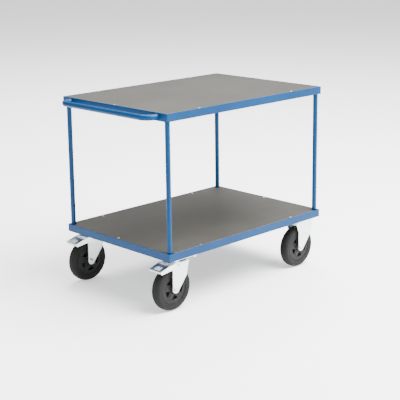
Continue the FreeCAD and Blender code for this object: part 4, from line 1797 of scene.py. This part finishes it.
@dataclass
class Fork:
    """A fork folded from one blank of sheet steel, with its front edges pressed inwards."""

    kind: ForkKind
    side: str
    half: float = FORK_HALF
    plate: float = 0.004
    bend: float = 0.008
    bend_steps: int = 7
    end_radius: float = 0.018
    reach: float = 0.082
    swivel_waist: Pair = (0.067, 0.050)
    fixed_waist: Pair = (0.072, 0.056)
    front_rise: float = 0.066
    flare_reach: float = 0.042
    flare_rise: float = 0.078
    waist_round: float = 0.016
    edge_round: float = 0.006
    crease: float = 0.005
    crease_slope: float = 0.030
    curl: float = 0.0016
    curl_cuts: tuple[float, ...] = (0.0015, 0.003, 0.0045, 0.006, 0.0075, 0.009, 0.0105)
    fade_below: float = 0.018
    fade_start: float = -0.002
    fade_rise: float = 0.024
    fade_cuts: int = 3
    cut_pitch: float = 0.006
    rear_dip: float = 0.016
    dip_steps: int = 6

    def __post_init__(self) -> None:
        """Take the fork's place from the frame."""
        end = "rear" if self.kind is ForkKind.SWIVEL else "front"
        self.node = f"{self.kind.value}_fork_{self.side}"
        self.axle = middle(f"tyre_{end}_{self.side}")
        self.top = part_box(self.node)[1].z
        if self.kind is ForkKind.FIXED:
            self.top -= self.plate
        self.crown = self.half - self.bend
        self.sweep = math.pi / 2.0 * (self.bend - self.plate / 2.0)

    def leg(self) -> Outline:
        """One leg's edge about the axle, from its front top corner round to its rear top.

        Returns:
            The edge's points.
        """
        low = self.top - self.bend - self.axle.z
        waist = self.swivel_waist if self.kind is ForkKind.SWIVEL else self.fixed_waist
        turn = math.degrees(math.atan2(waist[1], waist[0])
                            - math.acos(self.end_radius / math.hypot(*waist)))
        below = arc((0.0, 0.0), self.end_radius, turn, -180.0, 18)
        if self.kind is ForkKind.SWIVEL:
            share = (low - waist[1]) / (self.top - self.axle.z - waist[1])
            front = [(waist[0] + share * (self.reach - waist[0]), low), waist]
            rear = [(-self.end_radius, low)]
            radii = [0.0, self.waist_round] + [0.0] * (len(below) + 1)
        else:
            front = [(self.reach, low), (self.reach, self.front_rise), waist]
            rise = self.top - self.axle.z - self.flare_rise
            share = (low - self.flare_rise) / rise
            rear = [(-self.end_radius, self.flare_rise),
                    (-self.end_radius - share * (self.flare_reach - self.end_radius), low)]
            radii = [0.0, self.edge_round, self.waist_round] + [0.0] * len(below)
            radii += [self.waist_round, 0.0]
        corners = front + below + rear
        return rounded(corners, radii, 6)

    def flat(self, height: float) -> float:
        """A leg height's distance from the middle of the blank."""
        return self.crown + self.sweep + self.top - self.bend - self.axle.z - height

    def blank(self) -> Outline:
        """The whole blank: distance ahead of the axle, and across the fold.

        Returns:
            The blank's outline.
        """
        leg = [(x, self.flat(z)) for x, z in self.leg()]
        dip = []
        rear = leg[-1][0]
        for step in range(1, 2 * self.dip_steps):
            across = self.crown * (1.0 - step / self.dip_steps)
            lift = self.rear_dip * math.sqrt(max(0.0, 1.0 - (across / self.crown) ** 2))
            dip.append((rear + lift, across))
        other = [(x, -across) for x, across in reversed(leg)]
        return leg + dip + other

    def front_lines(self) -> list[tuple[Vector, Vector]]:
        """The leg's straight front edges, as points and directions into the sheet.

        Returns:
            A point and a direction for each edge.
        """
        low = self.top - self.bend - self.axle.z
        if self.kind is ForkKind.SWIVEL:
            waist = self.swivel_waist
            corners = [(self.reach, self.top - self.axle.z), waist]
        else:
            waist = self.fixed_waist
            corners = [(self.reach, low), (self.reach, self.front_rise), waist]
        turn = math.atan2(waist[1], waist[0]) - math.acos(self.end_radius / math.hypot(*waist))
        corners.append((self.end_radius * math.cos(turn), self.end_radius * math.sin(turn)))
        lines = []
        for (x_a, z_a), (x_b, z_b) in zip(corners, corners[1:]):
            run = Vector((x_b - x_a, z_b - z_a)).normalized()
            lines.append((Vector((x_a, z_a)), Vector((run.y, -run.x))))
        return lines

    def curled(self, x: float, z: float, lines: list[tuple[Vector, Vector]]) -> float:
        """How far the pressed front edge stands in at a point of a leg.

        Args:
            x: The distance ahead of the axle.
            z: The height above the axle.
            lines: The leg's front edges.

        Returns:
            The distance inwards.
        """
        gap = min((Vector((x, z)) - start).dot(into) for start, into in lines)
        near = max(0.0, min(1.0, 1.0 - gap / self.curl_cuts[-1]))
        below = max(0.0, min(1.0, (self.top - self.bend - self.axle.z - z) / self.fade_below))
        above = max(0.0, min(1.0, (z - self.fade_start) / self.fade_rise))
        lean = max(0.0, x - self.crease) * self.crease_slope
        return (self.curl * near * near * (3.0 - 2.0 * near) * above + lean) * below

    def folded(self, point: Vector, lines: list[tuple[Vector, Vector]]) -> Vector:
        """Fold a point of the blank into the fork.

        Args:
            point: Ahead of the axle, across the fold, and down from the outer face.
            lines: The leg's front edges.

        Returns:
            The point in the frame.
        """
        ahead, across, depth = point
        side = 1.0 if across >= 0.0 else -1.0
        reach = abs(across)
        if reach <= self.crown:
            y, z = reach, self.top - depth
        elif reach <= self.crown + self.sweep:
            turn = (reach - self.crown) / self.sweep * math.pi / 2.0
            y = self.crown + (self.bend - depth) * math.sin(turn)
            z = self.top - self.bend + (self.bend - depth) * math.cos(turn)
        else:
            z = self.top - self.bend - (reach - self.crown - self.sweep)
            y = self.half - depth - self.curled(ahead, z - self.axle.z, lines)
        return Vector((self.axle.x + ahead, self.axle.y + side * y, z))

    def legs(self) -> Shape:
        """The folded sheet.

        Returns:
            The fork's shape.
        """
        shape = Shape()
        shape.fill(self.blank(), (), lambda pair: Vector((pair[0], pair[1], 0.0)))
        lines = self.front_lines()

        def cut(at: Vector, across: Vector) -> None:
            """Cut the blank along a line.

            Args:
                at: A point of the line.
                across: The direction square to the line.
            """
            everything = shape.mesh.verts[:] + shape.mesh.edges[:] + shape.mesh.faces[:]
            bmesh.ops.bisect_plane(shape.mesh, geom=everything, plane_co=at, plane_no=across,
                                   dist=1e-6)

        for step in range(self.bend_steps + 1):
            reach = self.crown + self.sweep * step / self.bend_steps
            for side in (-1.0, 1.0):
                cut(Vector((0.0, side * reach, 0.0)), Vector((0.0, 1.0, 0.0)))
        cut(Vector((self.crease, 0.0, 0.0)), Vector((1.0, 0.0, 0.0)))
        for step in range(1, self.fade_cuts + 1):
            reach = self.crown + self.sweep + self.cut_pitch * step
            for side in (-1.0, 1.0):
                cut(Vector((0.0, side * reach, 0.0)), Vector((0.0, 1.0, 0.0)))
        for start, into in lines:
            for gap in self.curl_cuts:
                at = start + into * gap
                for side in (-1.0, 1.0):
                    cut(Vector((at.x, side * self.flat(at.y), 0.0)),
                        Vector((into.x, -side * into.y, 0.0)))
        shape.thicken(shape.mesh.faces[:], Vector((0.0, 0.0, self.plate)))
        for vert in shape.mesh.verts:
            vert.co = self.folded(vert.co, lines)
        return shape

    def build(self) -> None:
        """Build and mount the fork."""
        piece = self.legs().piece(f"folded_{self.node}", ZINC, 0.0006, 2, merge=2e-5)
        body = f"swivel_{self.side}" if self.kind is ForkKind.SWIVEL else "chassis"
        mount(piece, body, Slot.PLATE, self.node)


@dataclass
class TopPlate:
    """A caster's bolted plate, with the pressed race ring of a swivel head."""

    kind: ForkKind
    side: str
    plate: float = 0.004
    length: float = 0.140
    width: float = 0.110
    corner: float = 0.010
    race_outer: float = 0.037
    race_inner: float = 0.019
    race_depth: float = 0.005

    def build(self) -> None:
        """Build and mount the plate."""
        swivel = self.kind is ForkKind.SWIVEL
        node = f"swivel_plate_{self.side}" if swivel else f"fixed_fork_{self.side}"
        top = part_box(node)[1].z
        centre = middle(node)
        if not swivel:
            end = f"caster_bolts_front_{self.side}"
            centre = middle(end)
        half = (self.length / 2.0, self.width / 2.0)
        outline = rounded(rectangle((centre.x - half[0], centre.y - half[1]),
                                    (centre.x + half[0], centre.y + half[1])), self.corner, 8)
        under = top - self.plate
        shape = Shape().prism(outline, under, top, Axis.Z)
        if swivel:
            foot = under - self.race_depth
            profile = [(self.race_inner, under + 0.0005), (self.race_inner, foot + 0.0012),
                       (self.race_inner + 0.0006, foot + 0.0003), (self.race_inner + 0.002, foot),
                       (0.0235, foot + 0.0001), (0.0255, foot + 0.0012), (0.027, foot + 0.0016),
                       (0.0285, foot + 0.0012), (0.0305, foot + 0.0001),
                       (self.race_outer - 0.0025, foot), (self.race_outer - 0.0008, foot + 0.0006),
                       (self.race_outer, foot + 0.0020), (self.race_outer + 0.0010, under - 0.0008),
                       (self.race_outer + 0.0022, under + 0.0005)]
            shape.lathe(profile, Axis.Z, Vector((centre.x, centre.y, 0.0)), 72, closed=True)
            piece = shape.piece(f"head_{node}", ZINC, 0.0006)
            mount(piece, "chassis", Slot.PLATE, node)
        else:
            piece = shape.piece(f"fixed_plate_{self.side}", ZINC, 0.0006)
            mount(piece, "chassis", Slot.PLATE)


@dataclass
class SwivelHead:
    """The kingpin with its washer and nut, and the ring of balls."""

    side: str
    pin: float = 0.007
    washer: float = 0.016
    washer_plate: float = 0.0025
    nut_corner: float = 0.012
    nut: float = 0.009
    balls: int = 16
    ball: float = 0.0049
    ball_circle: float = 0.027
    # Radii of the dark ring that stands in for the shade in the gap round the balls.
    shade_ring: Pair = (0.0335, 0.0366)

    def gap_shade_ring(self) -> bpy.types.Object:
        """A dark rubber ring that fills the gap round the balls: painted shade standing in for the gap's
        shadow.

        Returns:
            The dark ring.
        """
        low, high = (corner.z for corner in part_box(f"swivel_balls_{self.side}"))
        centre = middle(f"swivel_balls_{self.side}")
        centre.z = 0.0
        inner, outer = self.shade_ring
        waist = outer - 0.0013
        profile = [(inner, low), (outer - 0.0004, low), (outer, low + 0.0005), (outer, low + 0.0016),
                   (waist, low + 0.0030), (waist, high - 0.0030), (outer - 0.0006, high - 0.0014),
                   (outer - 0.0004, high - 0.0003), (outer - 0.0009, high), (inner, high)]
        shape = Shape().lathe(profile, Axis.Z, centre, 72, closed=True)
        return shape.piece(f"dust_seal_{self.side}", SHOE)

    def build(self) -> None:
        """Build and mount the kingpin, the balls and the dark ring of painted shade in the gap round
        them.
        """
        node = f"kingpin_{self.side}"
        low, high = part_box(node)
        centre = middle(node)
        axis = Vector((centre.x, centre.y, 0.0))
        nut = HexBolt(corner=self.nut_corner)
        shape = Shape()
        shape.lathe([(0.0, low.z), (self.pin - 0.0008, low.z), (self.pin, low.z + 0.0008),
                     (self.pin, high.z - 0.0006), (self.pin - 0.001, high.z), (0.0, high.z)],
                    Axis.Z, segments=32)
        nut.head(shape, low.z + 0.0004, low.z + self.nut)
        plate_low = low.z + self.nut
        plate_high = plate_low + self.washer_plate
        shape.lathe([(0.0, plate_low), (self.washer - 0.0006, plate_low),
                     (self.washer, plate_low + 0.0006), (self.washer, plate_high - 0.0004),
                     (self.washer - 0.0004, plate_high), (0.0, plate_high)], Axis.Z, segments=40)
        shape.turned(Matrix.Translation(axis))
        mount(shape.piece(f"riveted_{node}", BRIGHT), "chassis", Slot.BRIGHT, node)
        one = Shape().lathe(globe(self.ball, 10), Axis.Z, segments=16)
        one = one.piece("ball", STEEL, weighted=False)
        race = middle(f"swivel_balls_{self.side}")
        ring = Pattern(Layout.RING, count=self.balls, radius=self.ball_circle)
        made = ring.lay(f"ball_ring_{self.side}", one, STEEL, race)
        discard(one)
        mount(made, f"swivel_{self.side}", Slot.STEEL, f"swivel_balls_{self.side}")
        # A dark ring in the gap round the balls, painted shade for the gap's shadow.
        mount(self.gap_shade_ring(), f"swivel_{self.side}", Slot.SHOE)


@dataclass
class Brake:
    """The pedal with its tread, the rubber shoe under it and the pin that it turns on."""

    side: str
    plate: float = 0.003
    half: float = 0.0374
    pivot: Pair = (0.014, 0.014)
    boss: float = 0.013
    knee: Pair = (-0.041, 0.007)
    knee_under: float = 0.030
    tip: Pair = (-0.096, 0.023)
    tip_under: Pair = (-0.084, 0.036)
    web_start: float = -0.022
    fold: float = 0.0035
    pad: Pair = (-0.083, -0.059)
    pad_half: float = 0.016
    pad_height: float = 0.0015
    ridges: int = 5
    pin: float = 0.004
    pin_head: float = 0.007
    pin_head_height: float = 0.0025

    def __post_init__(self) -> None:
        """Take the brake's place from the frame."""
        self.axle = middle(f"tyre_rear_{self.side}")
        self.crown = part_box(f"swivel_fork_{self.side}")[1].z
        self.body = f"brake_{self.side}"

    def spot(self, x: float, drop: float) -> Pair:
        """A point from the axle's place and the crown's height."""
        return (self.axle.x + x, self.crown - drop)

    def top(self, x: float) -> float:
        """How far the pedal's top lies below the crown.

        Args:
            x: The distance ahead of the axle.

        Returns:
            The drop from the crown.
        """
        if x >= self.knee[0]:
            start, end = (self.pivot[0], self.pivot[1] - self.boss), self.knee
        else:
            start, end = self.knee, self.tip
        share = (x - start[0]) / (end[0] - start[0])
        return start[1] + share * (end[1] - start[1])

    def pedal(self) -> bpy.types.Object:
        """The pedal's pressed shell.

        Returns:
            The shell.
        """
        centre = self.spot(*self.pivot)
        boss = arc(centre, self.boss, -90.0, 90.0, 16)
        corners = boss + [self.spot(*self.knee), self.spot(*self.tip), self.spot(*self.tip_under),
                          self.spot(self.knee[0], self.knee_under)]
        radii = [0.0] * len(boss) + [0.030, 0.005, 0.004, 0.030]
        outline = rounded(corners, radii, 6)
        shape = Shape().prism(outline, self.axle.y - self.half, self.axle.y + self.half, Axis.Y)
        shape.mesh.normal_update()

        def is_top(x: float, z: float) -> bool:
            """Whether a point lies on the pedal's top or tip."""
            ahead = x - self.axle.x
            return ahead < self.pivot[0] - 0.002 and z > self.crown - self.top(ahead) - 0.0016

        rims = [edge for edge in shape.mesh.edges if abs(edge.verts[0].co.y - edge.verts[1].co.y) < 1e-6
                and all(is_top(vert.co.x, vert.co.z) for vert in edge.verts)]
        bmesh.ops.bevel(shape.mesh, geom=rims, offset=self.fold, segments=4, profile=0.5,
                        affect="EDGES", clamp_overlap=True)
        shell = shape.piece(f"pedal_{self.side}", ZINC)
        inner = self.half - self.plate
        far_up, far_down, ahead = 0.05, 0.09, 0.08
        lip = self.tip[0] + self.plate
        lip_under = self.tip_under[0] + self.plate
        hollow = [self.spot(ahead, -far_up), self.spot(self.web_start, -far_up),
                  self.spot(self.web_start, self.top(self.web_start) + self.plate),
                  self.spot(self.knee[0], self.top(self.knee[0]) + self.plate),
                  self.spot(lip, self.top(lip) + self.plate), self.spot(lip_under, self.tip_under[1]),
                  self.spot(lip_under, far_down), self.spot(ahead, far_down)]
        outline = rounded(hollow, [0.0, 0.0, 0.0, 0.027, 0.002, 0.0, 0.0, 0.0], 5)
        tool = Shape().prism(outline, self.axle.y - inner, self.axle.y + inner, Axis.Y)
        carve(shell, tool.piece("hollow", ZINC, weighted=False))
        final = Shape().add(shell.data)
        discard(shell)
        return final.piece(f"pressed_pedal_{self.side}", PEDAL_ZINC, 0.0005, merge=1e-5)

    def tread(self) -> bpy.types.Object:
        """The raised pad near the pedal's tip, with its ridges.

        Returns:
            The pad.
        """
        back, front = self.pad
        slope = math.atan2(self.top(back) - self.top(front), front - back)
        length = (front - back) / math.cos(slope)
        outline = rounded(rectangle((-length / 2.0, -self.pad_half), (length / 2.0, self.pad_half)),
                          0.003, 4)
        pad = Shape().prism(outline, -0.0004, self.pad_height * 0.65, Axis.Z)
        centre_x = (back + front) / 2.0
        x, z = self.spot(centre_x, self.top(centre_x))
        place = Matrix.Translation((x, self.axle.y, z)) @ Matrix.Rotation(-slope, 4, "Y")
        base = pad.turned(place).piece("pad", TREAD_ZINC, 0.0004)
        bar = Shape().lathe([(0.0, -self.pad_half + 0.002), (0.0007, -self.pad_half + 0.0024),
                             (0.0009, -self.pad_half + 0.0032), (0.0009, self.pad_half - 0.0032),
                             (0.0007, self.pad_half - 0.0024), (0.0, self.pad_half - 0.002)],
                            Axis.Y, segments=10).piece("ridge", TREAD_ZINC, weighted=False)
        pitch = length / (self.ridges + 1.0)
        row = Pattern(Layout.LINE, count=self.ridges, step=Vector((pitch, 0.0, 0.0)))
        start = Vector((-pitch * (self.ridges - 1) / 2.0, 0.0, self.pad_height * 0.55))
        ridges = row.lay("ridges", bar, TREAD_ZINC, start)
        discard(bar)
        ridges.data.transform(place)
        return joined(f"pedal_tread_{self.side}", [base, ridges], TREAD_ZINC)

    def shoe(self) -> bpy.types.Object:
        """The rubber block, hollowed to the tyre's curve.

        Returns:
            The shoe.
        """
        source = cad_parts[f"brake_shoe_{self.side}"]
        shape = Shape()
        shape.add(source.data)
        bmesh.ops.remove_doubles(shape.mesh, verts=shape.mesh.verts, dist=1e-6)
        bmesh.ops.dissolve_limit(shape.mesh, angle_limit=math.radians(1.0), verts=shape.mesh.verts,
                                 edges=shape.mesh.edges)
        return shape.piece(f"rubber_shoe_{self.side}", SHOE, 0.0008, 3)

    def pivot_pin(self) -> bpy.types.Object:
        """The pin with its two domed heads.

        Returns:
            The pin.
        """
        low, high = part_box(f"brake_pin_{self.side}")
        half = (high.y - low.y) / 2.0
        neck = half - self.pin_head_height
        side = [(self.pin, neck), (self.pin_head - 0.0004, neck), (self.pin_head, neck + 0.0004),
                (self.pin_head, neck + 0.0010), (self.pin_head * 0.85, half - 0.0007),
                (self.pin_head * 0.55, half - 0.0001), (self.pin_head * 0.35, half),
                (self.pin_head * 0.28, half - 0.0006), (0.0, half - 0.0008)]
        mirrored = [(radius, -along) for radius, along in reversed(side)]
        shape = Shape().lathe(mirrored + side, Axis.Y, middle(f"brake_pin_{self.side}"), 32)
        return shape.piece(f"pivot_pin_{self.side}", BRIGHT)

    def build(self) -> None:
        """Build and mount the brake."""
        mount(self.pedal(), self.body, Slot.PLATE, f"brake_lever_{self.side}")
        mount(self.tread(), self.body, Slot.PLATE)
        mount(self.shoe(), self.body, Slot.SHOE, f"brake_shoe_{self.side}")
        mount(self.pivot_pin(), f"swivel_{self.side}", Slot.BRIGHT, f"brake_pin_{self.side}")


# ---------------------------------------------------------------- studio

@dataclass
class Studio:
    """A pale sweep, soft lights and the camera."""

    place: tuple[float, float, float] = (-3.3216, -3.4585, 1.6366)
    yaw: float = 0.7959
    pitch: float = -0.2216
    roll: float = -0.0121
    lens: float = 93.94
    sensor: float = 36.0
    rise: float = -0.1
    world: float = 0.6
    key: float = 1500.0
    fill: float = 60.0
    back: float = 900.0
    floor_half: float = 45.0

    def camera(self) -> None:
        """Create the camera."""
        ahead = Vector((math.cos(self.pitch) * math.cos(self.yaw),
                        math.cos(self.pitch) * math.sin(self.yaw), math.sin(self.pitch)))
        level = ahead.cross(Axis.Z.vector).normalized()
        upright = level.cross(ahead)
        right = math.cos(self.roll) * level + math.sin(self.roll) * upright
        up = -math.sin(self.roll) * level + math.cos(self.roll) * upright
        turn = Matrix((right, up, -ahead)).transposed().to_4x4()
        data = bpy.data.cameras.new("camera")
        data.lens = self.lens
        data.sensor_width = self.sensor
        data.shift_y = self.rise
        data.clip_end = 120.0
        camera = bpy.data.objects.new("camera", data)
        camera.matrix_world = Matrix.Translation(self.place) @ turn
        bpy.context.collection.objects.link(camera)
        bpy.context.scene.camera = camera

    def light(self, name: str, power: float, size: float, at: Vector, aim: Vector) -> None:
        """Add one square soft light.

        Args:
            name: Its name.
            power: Its power in watts.
            size: The length of its sides.
            at: Where it stands.
            aim: The point that it faces.
        """
        data = bpy.data.lights.new(name, "AREA")
        data.energy = power
        data.size = size
        lamp = bpy.data.objects.new(name, data)
        turn = (aim - at).to_track_quat("-Z", "Y").to_matrix().to_4x4()
        lamp.matrix_world = Matrix.Translation(at) @ turn
        bpy.context.collection.objects.link(lamp)

    def sweep(self) -> None:
        """Add the floor sheet."""
        shape = Shape()
        half = self.floor_half
        shape.fill(rectangle((-half, -half), (half, half)), (),
                   lambda pair: Vector((pair[0], pair[1], 0.0)))
        floor = shape.piece("floor", PAPER, weighted=False)

    def build(self) -> None:
        """Set the whole studio up."""
        self.camera()
        self.sweep()
        aim = Vector((0.0, 0.0, 0.4))
        self.light("key", self.key, 4.0, Vector((1.2, -2.4, 4.6)), aim)
        self.light("fill", self.fill, 3.0, Vector((-3.6, 0.8, 2.6)), aim)
        self.light("back", self.back, 4.0, Vector((2.6, 2.8, 6.5)), Vector((2.7, 2.9, 0.0)))
        world = bpy.data.worlds.new("studio")
        world.use_nodes = True
        graph = Graph(world.node_tree)
        glow = graph.node("ShaderNodeBackground", {"Color": (1.0, 1.0, 1.0), "Strength": self.world})
        graph.node("ShaderNodeOutputWorld", {"Surface": glow})
        bpy.context.scene.world = world


def main() -> None:
    """Build the studio and every sub-assembly, in order."""
    logging.basicConfig(level=logging.INFO, format="%(message)s")
    Studio().build()
    bead = ripple()
    Deck("lower", notched=True).build(bead)
    Deck("upper", notched=False).build(bead)
    Posts().build(bead)
    PushHandle().build(bead)
    CrossMembers().build()
    discard(bead)
    plate_bolt = HexBolt()
    axle_bolt = HexBolt(corner=0.0104)
    for side in SIDES:
        for end, kind, body in (("rear", ForkKind.SWIVEL, f"swivel_{side}"),
                                ("front", ForkKind.FIXED, "chassis")):
            CasterBolts(end, side, plate_bolt).build()
            TopPlate(kind, side).build()
            Fork(kind, side).build()
            Wheel(end, side, axle_bolt, body).build()
        SwivelHead(side).build()
        Brake(side).build()


if __name__ == "__main__":
    main()
